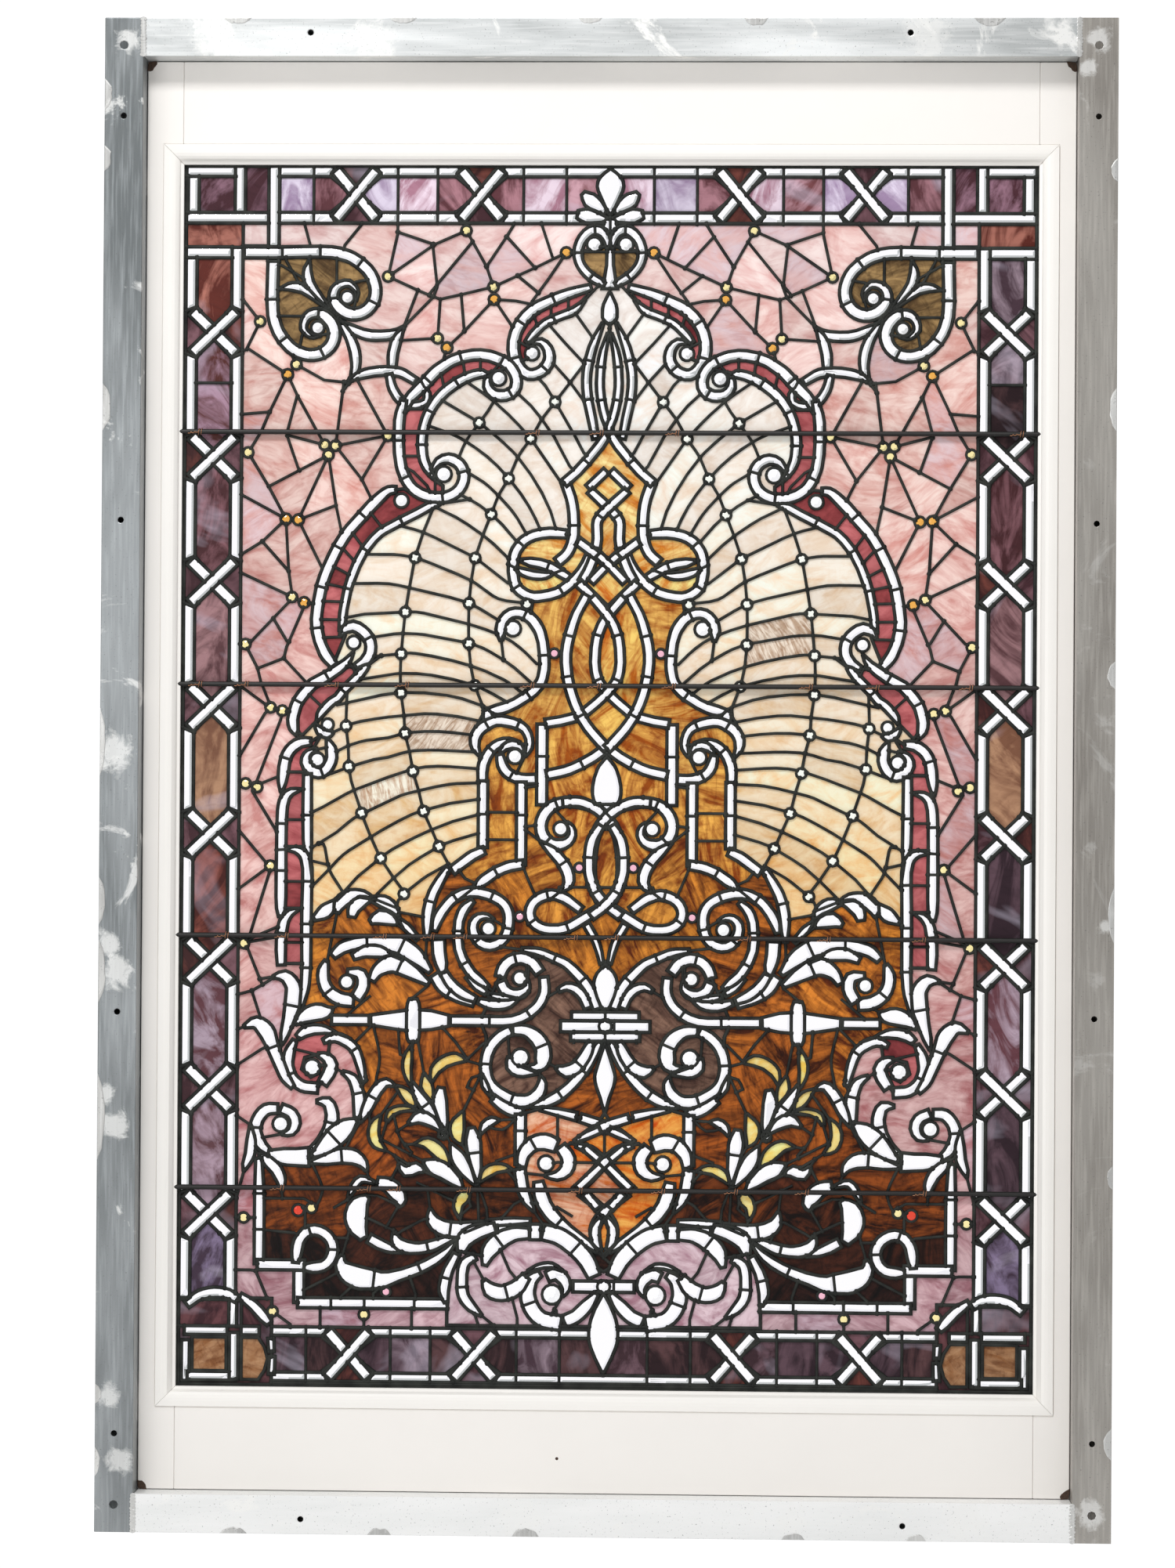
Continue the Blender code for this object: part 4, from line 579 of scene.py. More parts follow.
# Leads of the salmon ground
MOSAIC = [
    [(272, 1488), (272, 1475), (284, 1420)], [(272, 1477), (225, 1461)],
    [(284, 1420), (225, 1461), (184, 1479)], [(227, 1460), (221, 1407)],
    [(284, 1420), (243, 1401), (217, 1391), (190, 1397), (149, 1407)],
    [(230, 1399), (200, 1436), (176, 1465)], [(184, 1479), (158, 1433), (149, 1407)],
    [(158, 1433), (132, 1472), (123, 1487)], [(131, 1470), (96, 1432)],
    [(149, 1407), (95, 1432), (56, 1451)], [(88, 1487), (73, 1443)], [(56, 1451), (40, 1450)],
    [(56, 1451), (78, 1418), (100, 1388)], [(118, 1421), (92, 1400)], [(148, 1391), (120, 1389),
     (95, 1384)],
    [(148, 1391), (125, 1357)], [(148, 1391), (186, 1350), (208, 1329)], [(190, 1396), (186, 1350)],
    [(217, 1391), (220, 1341)], [(220, 1341), (240, 1340), (268, 1338)], [(246, 1402), (263, 1357)],
    [(208, 1329), (212, 1316)], [(430, 1458), (384, 1459)], [(392, 1487), (384, 1459)],
    [(318, 1487), (340, 1460)], [(470, 1390), (448, 1362)], [(448, 1362), (465, 1327)],
    [(470, 1324), (463, 1327), (412, 1294)], [(401, 1307), (406, 1317)],
    [(401, 1307), (365, 1287), (336, 1284)], [(412, 1294), (435, 1246), (446, 1220), (462, 1194)],
    [(470, 1243), (435, 1246)], [(400, 1266), (413, 1218), (398, 1175)],
    [(412, 1294), (398, 1264), (364, 1204)], [(340, 1283), (350, 1203)], [(322, 1286), (283, 1216)],
    [(364, 1204), (411, 1216)], [(350, 1203), (283, 1216)], [(462, 1194), (435, 1150), (413, 1109)],
    [(359, 1191), (433, 1152)], [(359, 1191), (397, 1108)], [(359, 1191), (349, 1127), (341, 1090)],
    [(397, 1108), (348, 1127)], [(350, 1203), (316, 1160), (300, 1128)], [(283, 1216), (316, 1160)],
    [(470, 1140), (413, 1109)], [(413, 1109), (443, 1080), (470, 1063)], [(443, 1080), (409, 1042)],
    [(413, 1109), (409, 1040), (404, 1009)], [(397, 1108), (366, 1046)], [(470, 1040), (404, 1009)],
    [(411, 999.5), (429, 981), (455.5, 953)], [(427.5, 981), (411, 953)], [(404, 1009), (389, 1002),
     (373, 1000)],
    [(391, 992), (411, 945.5), (414.5, 932)], [(414.5, 930.5), (448, 917.5)], [(464, 948), (448, 917.5)],
    [(448, 917.5), (444, 901), (433, 874.5)], [(414.5, 930.5), (386.5, 901)], [(470, 895), (438.5, 872.5)],
    [(431, 867), (416, 863), (402, 862)], [(438.5, 859.5), (470, 805.5)], [(418, 852), (448, 773.5)],
    [(421, 779), (440.5, 771), (462, 770)], [(453.5, 760), (423, 709.5)], [(470, 709.5), (437, 670.5)],
    [(437.5, 659.5), (470, 635)], [(431, 656.5), (455.5, 577)], [(421, 586.5), (448, 575), (463, 566)],
    [(454.5, 568), (422, 573.5)], [(458, 558.5), (440.5, 515.5)], [(470, 500), (452, 505), (430, 518)],
    [(452, 503), (441, 470)], [(470, 410), (440, 430)], [(470, 345), (448, 330)], [(470, 215), (447, 215)],
    [(445, 147), (423, 95.5), (400, 79)], [(362, 100), (362, 79)], [(306, 100), (306, 79)], [(245, 100),
     (245, 79)],
    [(470, 148), (452, 148)],
]

# Chains and ribs of the web
CHAINS = [
    [(20, 1325), (50, 1285), (69, 1260), (86, 1238), (100, 1213), (116, 1190), (128, 1162), (141, 1140),
     (150, 1116),
     (161, 1088), (170, 1060), (175, 1031), (177.5, 1002), (178, 975), (177.5, 950.5), (175.5, 925),
     (169.5, 897),
     (163, 880), (158, 868)],
    [(146, 1263), (155, 1248), (166, 1233), (183, 1209), (193, 1186)],
    [(225, 1122), (237, 1092), (247, 1060), (253, 1028), (259, 990.5), (263, 950), (264, 937),
     (265, 920), (264, 887),
     (260, 860), (258.5, 835.5), (251.5, 808), (248, 787), (240.5, 762), (234, 736), (221, 707),
     (214, 691), (201, 667)],
    [(333, 886), (334, 844.5), (331, 818.5), (330, 792.5), (327, 774), (317, 745), (313.5, 733),
     (300.5, 700.5),
     (288.5, 675.5), (273, 652), (258.5, 630), (265.5, 622), (268, 614)],
    [(366, 693), (362, 693), (354.5, 661), (336, 631)],
]
RIBS = [
    [(43, 1372), (20, 1340)], [(76, 1357), (52, 1330), (32, 1309)], [(78, 1316), (50, 1285), (30, 1258)],
    [(98, 1297), (82, 1281), (69, 1260), (45, 1219), (32, 1195)],
    [(124, 1277), (100, 1255), (86, 1238), (70, 1215), (50, 1178)],
    [(182, 1285), (148, 1261), (122, 1237), (100, 1213), (80, 1184), (60, 1156)],
    [(215, 1262), (166, 1233), (147, 1218), (117, 1190), (90, 1152), (74, 1120), (66, 1094)],
    [(234, 1230), (205, 1220), (183, 1209), (150, 1185), (128, 1162), (112, 1142), (97, 1118), (86, 1094)],
    [(185, 1172), (160, 1157), (141, 1140), (120, 1116), (103, 1088)],
    [(192, 1142), (172, 1132), (150, 1116), (135, 1102), (116, 1080)],
    [(222, 1125), (195, 1112), (160, 1089), (140, 1072), (124, 1056)],
    [(268, 1101), (238, 1093), (200, 1075), (170, 1060), (150, 1045), (128, 1028)],
    [(308, 1064), (275, 1064), (247, 1060), (210, 1046), (175, 1031), (140, 1008), (109, 1003)],
    [(329.5, 1026.5), (280, 1026.5), (256.5, 1022), (219, 1013.5), (177.5, 1002), (140.5, 981)],
    [(335, 983), (311.5, 987.5), (280, 989), (245, 990.5), (215.5, 984.5), (174.5, 974.5), (140.5, 962.5),
     (122, 953), (103.5, 938), (90.5, 925)],
    [(297.5, 958.5), (265.5, 963), (234, 961.5), (206, 956.5), (168.5, 948.5), (140.5, 934.5),
     (118.5, 919.5),
     (99.5, 902.5)],
    [(298.5, 933.5), (264, 937), (252.5, 938), (215.5, 932.5), (174.5, 922), (148, 912), (125.5, 900.5),
     (107, 886)],
    [(313.5, 904.5), (280, 910), (264, 912), (234, 911), (206, 906.5), (169.5, 897), (140.5, 883),
     (125.5, 874.5)],
    [(345.5, 871), (317.5, 877.5), (280, 885.5), (252.5, 887.5), (215.5, 885.5), (185.5, 880),
     (159.5, 871)],
    [(334, 844.5), (323, 848.5), (280, 856), (264, 857.5), (234, 860.5), (200.5, 858.5), (165, 852)],
    [(347, 811), (333, 818.5), (308, 826), (280, 829.5), (258.5, 835.5), (224.5, 838), (196.5, 836.5),
     (170.5, 833.5)],
    [(330, 792.5), (321, 794.5), (298.5, 801.5), (280, 804.5), (254.5, 812), (228.5, 814), (170.5, 812)],
    [(375, 781), (353, 783), (336, 789.5)],
    [(376, 734), (354.5, 745), (326.5, 761), (310, 767.5), (280, 779), (256.5, 787), (239.5, 791.5),
     (215.5, 793.5),
     (165, 790.5)],
    [(376, 689), (345.5, 708), (323, 726.5), (304.5, 736), (280, 748), (264, 755.5), (245, 761),
     (200.5, 770.5),
     (167, 772.5)],
    [(376, 639), (354.5, 661), (336, 680), (304.5, 700.5), (280, 715.5), (243.5, 734), (224.5, 739.5),
     (200.5, 746),
     (165, 751.5)],
    [(336, 631.5), (317.5, 652), (295, 670.5), (280.5, 682.5), (252.5, 698.5), (221, 713.5),
     (196.5, 723), (165, 732)],
    [(293, 629.5), (280, 642.5), (252.5, 667), (223, 685.5), (206, 695), (185.5, 701.5), (165, 708)],
    [(258.5, 630), (249, 638), (228.5, 653.5), (204, 667.5)],
    [(379, 672), (358, 667)],
]

# Petals of opal glass among the flowers, as indexes of their leaves would be hard to read: a point in each
REPAIRS = [(234, 848), (195, 845), (240, 824), (195, 824), (300, 752), (-235, 974), (-232, 947), (-262, 948)]
PETALS = [
    (249, 418), (201, 416), (215, 405), (225, 384), (253.5, 374), (263, 351), (288, 325), (182, 335),
    (218, 305),
    (140, 276), (181, 235),
]


def rect(x0, z0, x1, z1):
    return [(x0, z0), (x1, z0), (x1, z1), (x0, z1)]


def diagonal(points):
    """The corner bracket's own mirror, about its diagonal."""
    return [(p[1] - DIAGONAL_SHIFT, p[0] + DIAGONAL_SHIFT, *p[2:]) for p in points]


# Outlines of the grounds, right half
WEB_GROUND = [
    (0, 1405), (24, 1400), (77, 1380), (112, 1350), (118, 1318), (140, 1310), (195, 1306), (235, 1280),
    (258, 1250),
    (263, 1215), (262, 1180), (255, 1160), (272, 1140), (300, 1122), (334, 1083), (360, 1035),
    (369, 1000), (371, 975),
    (362, 940), (350, 925), (364, 905), (386, 888), (398, 865), (400, 845), (404, 812), (413, 785),
    (413, 700),
    (413, 590), (375, 600), (345, 618), (298, 628), (265, 608), (240, 590), (215, 570), (0, 570),
]
MIDDLE_GROUND = [
    (0, 1222), (25, 1189), (57, 1156), (47, 1133), (44, 1108), (45, 1090), (75, 1092), (108, 1082),
    (121, 1055),
    (117, 1023), (95, 1010), (99, 984), (84, 953), (81, 918), (95, 889), (122, 872), (155, 865), (166, 850),
    (169, 828), (163, 808), (159, 775), (158, 688), (197, 662), (223, 626), (229, 572), (214, 540),
    (0, 540),
]
BROWN_GROUND = [
    (0, 622), (190, 628), (229, 600), (265, 606), (300, 627), (345, 618), (375, 600), (385, 560),
    (386, 510),
    (398, 478), (392, 464), (360, 444), (335, 443), (319, 431), (312, 412), (306, 390), (318, 375),
    (314, 354),
    (318, 343), (352, 310), (376, 294), (411, 293), (441, 291), (441, 156), (389, 155), (389, 107),
    (0, 107),
]
OLIVE_GROUND = [
    (0, 545), (16, 502), (38, 531), (65, 549), (100, 552), (128, 540), (140, 515), (160, 468),
    (152, 450), (152, 403),
    (130, 372), (96, 366), (60, 374), (34, 397), (10, 436), (0, 445),
]
SHIELD_GROUND = [
    (0, 352), (9, 339), (36, 347), (82, 357), (107, 350), (108, 280), (104, 255), (97, 238), (76, 235),
    (49, 206),
    (21, 186), (0, 170),
]
MAUVE_GROUND = [
    (0, 150), (21, 163), (58, 195), (87, 205), (134, 190), (150, 168), (182, 174), (200, 146),
    (204, 123), (200, 107),
    (200, 80), (0, 80),
]
BRACKET_GROUND = [
    (433, 1450), (340, 1450), (312, 1428), (302, 1400), (312, 1378), (340, 1376), (356, 1392), (372, 1376),
    (356, 1356), (359, 1332), (381, 1322), (409, 1332), (431, 1359),
]
RED_BANDS = [
    [(28, 1400), (55, 1392), (90, 1375), (112, 1355), (119, 1330), (112, 1312), (100, 1318),
     (106, 1336), (98, 1350),
     (82, 1365), (60, 1375), (40, 1383)],
    [(130, 1303), (143, 1313), (165, 1317), (195, 1313), (220, 1298), (244, 1275), (262, 1245), (268, 1215),
     (266, 1188), (261, 1168), (248, 1150), (230, 1141), (212, 1140), (212, 1152), (224, 1160), (234, 1174),
     (239, 1190), (240, 1215), (232, 1243), (218, 1265), (200, 1281), (180, 1292), (160, 1296),
     (150, 1298)],
    [(216, 1129), (245, 1117), (275, 1100), (300, 1085), (320, 1055), (333, 1020), (340, 975),
     (336, 960), (350, 925),
     (364, 940), (371, 965), (371, 1000), (363, 1035), (346, 1073), (318, 1110), (281, 1146), (262, 1148)],
    [(310, 920), (338, 889), (362, 866), (372, 850), (390, 832), (400, 840), (401, 860), (388, 886),
     (364, 905),
     (335, 920)],
    [(366, 832), (379, 824), (400, 815), (409, 800), (411, 785), (386, 785), (386, 800), (378, 812)],
    [(386, 785), (412, 785), (416, 740), (416, 540), (385, 540), (384, 620), (386, 690), (386, 760)],
    [(350, 455), (372, 455), (398, 440), (404, 410), (395, 390), (367, 383), (350, 400), (352, 420),
     (366, 424),
     (384, 420), (388, 405), (376, 395), (366, 400), (366, 410), (356, 410)],
]
TILE_CUTS = [
    [(53, 1398), (53, 1372)], [(75, 1388), (75, 1360)], [(98, 1374), (90, 1350)], [(118, 1338),
     (104, 1330)],
    [(217, 1303), (210, 1272)], [(188, 1316), (184, 1290)], [(165, 1320), (165, 1292)], [(240, 1250),
     (268, 1250)],
    [(238, 1190), (268, 1190)], [(250, 1170), (232, 1152)], [(222, 1162), (222, 1138)], [(308, 1122),
     (286, 1094)],
    [(330, 1095), (310, 1068)], [(343, 1075), (320, 1050)], [(356, 1051), (328, 1036)], [(365, 1027),
     (332, 1020)],
    [(370, 1004), (336, 1003)], [(372, 980.5), (339, 980)], [(370, 957), (342, 958)], [(330, 926),
     (320, 908)],
    [(386, 888), (362, 866)], [(416, 724), (384, 724)], [(416, 690), (384, 690)], [(416, 645), (384, 645)],
    [(416, 611), (384, 611)], [(416, 567), (384, 567)],
]
BROWN_LEADS = [
    [(0, 740), (0, 712)], [(83, 720), (109, 716)], [(83, 770), (109, 766)], [(109, 700), (158, 700)],
    [(109, 735), (158, 735)], [(158, 640), (180, 650)], [(60, 640), (0, 640)], [(100, 650), (90, 628)],
    [(228, 512), (250, 494)], [(270, 540), (300, 522)], [(300, 500), (330, 475)], [(245, 440), (248, 425)],
    [(210, 462), (190, 440), (176, 420)], [(300, 460), (320, 440)], [(296, 460), (288, 420), (292, 395)],
    [(155, 440), (175, 420)], [(152, 400), (170, 396), (176, 384)], [(265, 462), (262, 425)],
    [(108, 350), (130, 330), (150, 334)], [(110, 300), (138, 290)], [(110, 262), (124, 278)],
    [(300, 370), (300, 340), (290, 320)], [(270, 350), (262, 320), (246, 300)], [(262, 286), (270, 270)],
    [(376, 290), (360, 250), (368, 230)], [(441, 240), (384, 240)], [(346, 190), (330, 190)],
    [(346, 228), (326, 240)], [(382, 197), (382, 228)], [(441, 200), (396, 196)], [(294, 120), (270, 140)],
    [(336, 115), (320, 130)], [(240, 120), (250, 148)], [(389, 120), (350, 140)], [(210, 185), (222, 214)],
    [(150, 230), (160, 258)], [(115, 235), (135, 212)], [(195, 240), (240, 262)], [(290, 245), (262, 232)],
    [(230, 215), (258, 200)], [(268, 200), (300, 215)], [(170, 232), (186, 218)],
]


AMBER_EDGES = [
    [(169, 842), (155, 868)], [(166, 815), (161, 800)], [(196, 664), (207, 650)], [(230, 600), (266, 607)],
    [(373, 601), (379, 590)], [(397, 474), (394, 468)], [(392, 465), (382, 458)], [(304, 392), (312, 383)],
    [(374, 294), (380, 294)],
]


def grounds(c):
    c.region(rect(-SIGHT_HALF, 0, SIGHT_HALF, SIGHT_HIGH), "edge", both=False)
    c.region(rect(-OUT_X, FOOT_Z[3] - 3, OUT_X, HEAD_Z[0]), "lilac", both=False)
    c.region(rect(-IN_X, FOOT_Z[0], IN_X, HEAD_Z[3]), "pink", both=False)


def border(c):
    for a, b in ((OUT_X, STRIP_X), (LAY_X, IN_X)):
        mid, width = (a + b) / 2, abs(a - b)
        foot = 105 if a == OUT_X else 112
        c.stroke([(mid, foot, width), (mid, 1458 if a == OUT_X else 1488, width)])
    for rows in (HEAD_Z, FOOT_Z):
        for a, b in ((rows[0], rows[1]), (rows[2], rows[3])):
            reach = 436 if rows is HEAD_Z else 462
            c.stroke([(-reach, (a + b) / 2, abs(a - b)), (reach, (a + b) / 2, abs(a - b))], both=False)
        for x in (380, 272, 221, 111, 56):
            c.line([(x, min(rows)), (x, max(rows))])
    for z in SIDE_CROSSINGS:
        side_crossing(c, 507, z)
    for rows in (HEAD_Z, FOOT_Z):
        for x in END_CROSSINGS:
            end_crossing(c, x, (rows[1] + rows[2]) / 2, (rows[0] - rows[3]) / 2)
    c.line([(STRIP_X, 1283), (LAY_X, 1283)])


def side_crossing(c, x, z):
    """Two bevels that cross; the one that falls outward lies over."""
    outline = [
        (543.5, z + 27), (529.5, z + 33), (508, z + 5), (484.5, z + 33), (470.5, z + 27), (470.5, z - 27),
        (484.5, z - 33), (508, z - 5), (529.5, z - 33), (543.5, z - 27),
    ]
    c.region(outline, "crossing")
    width = 14
    c.stroke([(x - 28, z - 27, width), (x + 28, z + 27, width)])
    c.stroke([(x + 28, z - 27, width), (x - 28, z + 27, width)])


def end_crossing(c, x, z, half):
    """The same, laid along the head and the foot."""
    run, rise = 26, half - 5
    outline = [
        (x + run, z + half), (x + run + 7, z + half - 13), (x + 5, z), (x + run + 7, z - half + 13),
        (x + run, z - half), (x - run, z - half), (x - run - 7, z - half + 13), (x - 5, z),
        (x - run - 7, z + half - 13), (x - run, z + half),
    ]
    c.region(outline, "crossing")
    width = 13.5
    c.stroke([(x - run, z - rise, width), (x + run, z + rise, width)])
    c.stroke([(x + run, z - rise, width), (x - run, z + rise, width)])


def head_corner(c):
    """Squares of bevels laid over each other."""
    c.region(rect(424, 1488, OUT_X, 1561), "lilac")
    c.region(rect(IN_X, 1457, OUT_X, 1488), "lilac")
    c.region(rect(438, 1459, IN_X, 1488), "pink")
    for path in (
        [(534.5, 1561, 14), (534.5, 1490, 14)],
        [(OUT_X, 1554.5, 13), (470, 1554.5, 13)],
        [(474.5, 1561, 13), (474.5, 1502, 13)],
        [(OUT_X, 1495, 13.5), (438, 1495, 13.5)],
        [(431, 1561, 13.5), (431, 1458, 13.5)],
        [(OUT_X, 1450.5, 14), (484.5, 1450.5, 14)],
    ):
        c.stroke(path)


def foot_corner(c):
    """An arch of bevels over a square of brown glass."""
    c.region(rect(424, 2, OUT_X, 112), "lilac")
    c.region(rect(463, 76, OUT_X, 110), "dusk")
    c.region(rect(482, 19, 526, 62), "tan")
    c.region([(463, 62), (463, 8), (441, 8), (433, 20), (429, 35), (433, 50), (441, 62)], "tan")
    for path in (
        [(534.5, 58, 10), (534.5, 6, 10)],
        [(536, 70.5, 11), (481, 70.5, 11)],
        [(463, 70.5, 11), (440, 70.5, 11)],
        [(532, 12.5, 11), (470, 12.5, 11)],
        [(472.5, 68, 11), (472.5, 8, 11)],
        [(474, 112, 10), (474, 76, 10)],
        [(425, 61, 8), (424, 44, 7)],
        [(423, 38, 7), (424, 15, 8)],
        [(465, 115, 8), (448, 103, 12), (434, 88, 12), (427, 80, 8)],
        [(533, 103, 10), (517, 115, 12), (498, 119, 13), (480, 117, 12), (468, 110, 10)],
    ):
        c.stroke(path)


def bracket(c):
    c.region(BRACKET_GROUND, "olive")
    turns = (diagonal, list)
    for turn in turns:
        c.straight(turn([(350, 1443), (350, 1412)]))
        c.straight(turn([(325, 1413), (309, 1416)]))
        c.straight(turn([(415, 1440), (400, 1414), (388, 1404)]))
        c.stroke(turn(BRACKET_LEAF))
    for turn in turns:
        strap = turn(BRACKET_STRAP)
        if turn is diagonal:
            strap[0] = (431.5, 1458, 14)
        cuts = turn([(420, 1450), (370, 1451), (318, 1435), (303, 1387), (354, 1392)])
        c.stroke(strap, cuts=cuts)
    for path in TENDRILS:
        c.stroke(path)


def centre(c):
    c.region([(0, 1460), (40, 1452), (28, 1424), (0, 1410), (-28, 1424), (-40, 1452)], "olive", both=False)
    c.straight([(40, 1452), (-40, 1452)], both=False)
    for path in FINIAL[:2]:
        c.stroke(path)
    c.stroke(CENTRE[0], both=False)
    c.disc(0, 1487, 9, "bevel", both=False)
    c.stroke([(0, 1478, 5), (0, 1458, 8), (0, 1440, 8), (0, 1420, 13), (0, 1405, 20)], both=False)
    c.stroke(FINIAL[2], cuts=[(19.5, 1480.5), (41, 1451), (24, 1420)])


def build_cartoon():
    c = Cartoon()
    grounds(c)
    for points in MOSAIC:
        c.straight(points)
    c.region(WEB_GROUND, "web", edge=False)
    for points in RIBS + CHAINS:
        c.line(points)
    c.region(BROWN_GROUND, "amber", edge=False)
    c.region(MIDDLE_GROUND, "amber", edge=False)
    for points in BROWN_LEADS + AMBER_EDGES:
        c.line(points)
    c.region(OLIVE_GROUND, "umber")
    c.straight([(40, 462), (40, 440)])
    c.straight([(100, 545), (104, 500)])
    c.region(SHIELD_GROUND, "shield", edge=True)
    for points in (
        [(0, 331), (0, 300)], [(60, 350), (60, 316)], [(0, 289), (-60, 289)], [(40, 220), (60, 232)],
    ):
        c.straight(points)
    c.region(MAUVE_GROUND, "mauve", edge=True)
    for points in (
        [(140, 195), (120, 150)], [(60, 82), (60, 100)], [(160, 82), (168, 104)], [(110, 90), (120, 128)],
    ):
        c.straight(points)
    for band in RED_BANDS:
        c.region(band, "red", edge=True)
    for cut in TILE_CUTS:
        c.straight(cut)
    border(c)
    head_corner(c)
    foot_corner(c)
    bracket(c)
    for path in LOWER:
        c.stroke(path, cuts=joints(path))
    for path in MIDDLE + KNOT:
        c.stroke(path, cuts=joints(path))
    for path in CENTRE[1:]:
        c.stroke(path, both=False)
    for path in ARCH:
        c.stroke(path, cuts=joints(path))
    centre(c)
    for x, z, radius in EYES:
        c.disc(x, z, radius, "star")
    for x, z in WEB_JEWELS:
        c.disc(x, z, 6.5, "crystal", count=12)
    c.disc(103.5, 1001.5, 6.5, "crystal", count=12)
    c.region([(159, 872), (143, 858), (158, 852)], "bevel")
    for x, z in PALE_JEWELS:
        c.disc(x, z, 6.5, "citrine", count=12)
    for x, z in WARM_JEWELS:
        c.disc(x, z, 6.8, "topaz", count=12)
    for x, z in ((68, 938.5), (34.5, 665), (110, 602), (278, 122)):
        c.disc(x, z, 6, "rose", count=12)
    c.disc(391, 225, 7.5, "ruby", count=12)
    c.disc(206, 324, 6, "star", count=12)
    for z in (462.8, 131):
        c.disc(0, z, 8, "star", both=False)
    c.reach()
    c.close()
    return c


def joints(path, apart=62):
    """Places of the cross joints of a long strap: glass this bent isn't cut in one piece."""
    places, run = [], 0
    lengths = [math.dist(a[:2], b[:2]) for a, b in zip(path, path[1:])]
    total = sum(lengths)
    count = int(total / apart)
    for k in range(1, count + 1):
        goal, run = total * k / (count + 1), 0
        for a, b, length in zip(path, path[1:], lengths):
            if run + length >= goal:
                share = (goal - run) / max(length, 1e-6)
                places.append((a[0] + (b[0] - a[0]) * share, a[1] + (b[1] - a[1]) * share))
                break
            run += length
    return places


def world(x, z, y):
    """A point of the cartoon in the frame's own metres; the cartoon's x runs to the viewer's left."""
    return (-x * MM, y, z * MM + PANEL_FOOT)


def flood(count, near):
    """Numbers the groups of triangles that can be reached from each other."""
    group = np.full(count, -1)
    groups = []
    for first in range(count):
        if group[first] >= 0:
            continue
        reached = [first]
        group[first] = len(groups)
        members = []
        while reached:
            here = reached.pop()
            members.append(here)
            for n in near[here]:
                if group[n] < 0:
                    group[n] = len(groups)
                    reached.append(n)
        groups.append(members)
    return groups


def part_panel(c):
    """The glass pieces and lead edges that the cartoon's leads leave."""
    rows = c.leads
    seams = np.array([(*a, *b) for a, b in c.seams])
    points = [Vector(p) for p in np.vstack([rows[:, :4], seams]).reshape(-1, 2)]
    pairs = [(2 * k, 2 * k + 1) for k in range(len(points) // 2)]
    verts, edges, faces, _, from_rows, _ = delaunay_2d_cdt(points, pairs, [], 0, EASE, True)
    verts = np.array([tuple(v) for v in verts])
    faces = np.array(faces)
    leads = {}
    for (a, b), found in zip(edges, from_rows):
        widths = [rows[k, 4] for k in found if k < len(rows)]
        if widths:
            leads[(min(a, b), max(a, b))] = max(widths)
    owner, between = {}, []
    for f, face in enumerate(faces):
        for k in range(3):
            edge = (min(face[k - 1], face[k]), max(face[k - 1], face[k]))
            if edge in leads:
                continue
            if edge in owner:
                between.append((owner[edge], f, edge))
            else:
                owner[edge] = f
    a, b, d = (verts[faces[:, k]] for k in range(3))
    cover = np.abs((b - a)[:, 0] * (d - a)[:, 1] - (b - a)[:, 1] * (d - a)[:, 0]) / 2
    middle = (a + b + d) / 3
    kinds = np.full(len(faces), "", dtype=object)
    for poly, kind in c.paints:
        kinds[inside(middle, poly)] = kind
    near = [[] for _ in faces]
    for f, g, _ in between:
        near[f].append(g)
        near[g].append(f)
    for members in flood(len(faces), near):
        share = {}
        for f in members:
            share[kinds[f]] = share.get(kinds[f], 0) + cover[f]
        main = max(share, key=share.get)
        for f in members:
            if share[kinds[f]] < LEAST_PIECE:
                kinds[f] = main
    near = [[] for _ in faces]
    for f, g, edge in between:
        if kinds[f] == kinds[g]:
            near[f].append(g)
            near[g].append(f)
        else:
            leads[edge] = THIN_CAME
    pieces = flood(len(faces), near)
    spots = [middle[piece[int(np.argmax(cover[piece]))]] for piece in pieces]
    return verts, faces, leads, pieces, [kinds[piece[0]] for piece in pieces], cover, spots


def rim_edges(faces):
    edges = {(face[k - 1], face[k]) for face in faces for k in range(3)}
    return [(a, b) for a, b in edges if (b, a) not in edges]


def away_from(points, starts, ends):
    """Distance of each point from the nearest of the segments."""
    run = ends - starts
    length = np.maximum((run**2).sum(1), 1e-12)
    t = ((points[:, None] - starts[None]) * run[None]).sum(2) / length
    t = np.clip(t, 0, 1)
    nearest = starts[None] + run[None] * t[..., None]
    return np.sqrt(((points[:, None] - nearest) ** 2).sum(2)).min(1)


def enclosed(points, starts, ends):
    """Which points lie within the loops that the segments make."""
    x, z = points[:, :1], points[:, 1:2]
    rise = ends[:, 1] - starts[:, 1]
    crosses = (starts[:, 1] > z) != (ends[:, 1] > z)
    at = (ends[:, 0] - starts[:, 0]) * (z - starts[:, 1]) / np.where(rise == 0, 1, rise) + starts[:, 0]
    return (crosses & (x < at)).sum(1) % 2 == 1


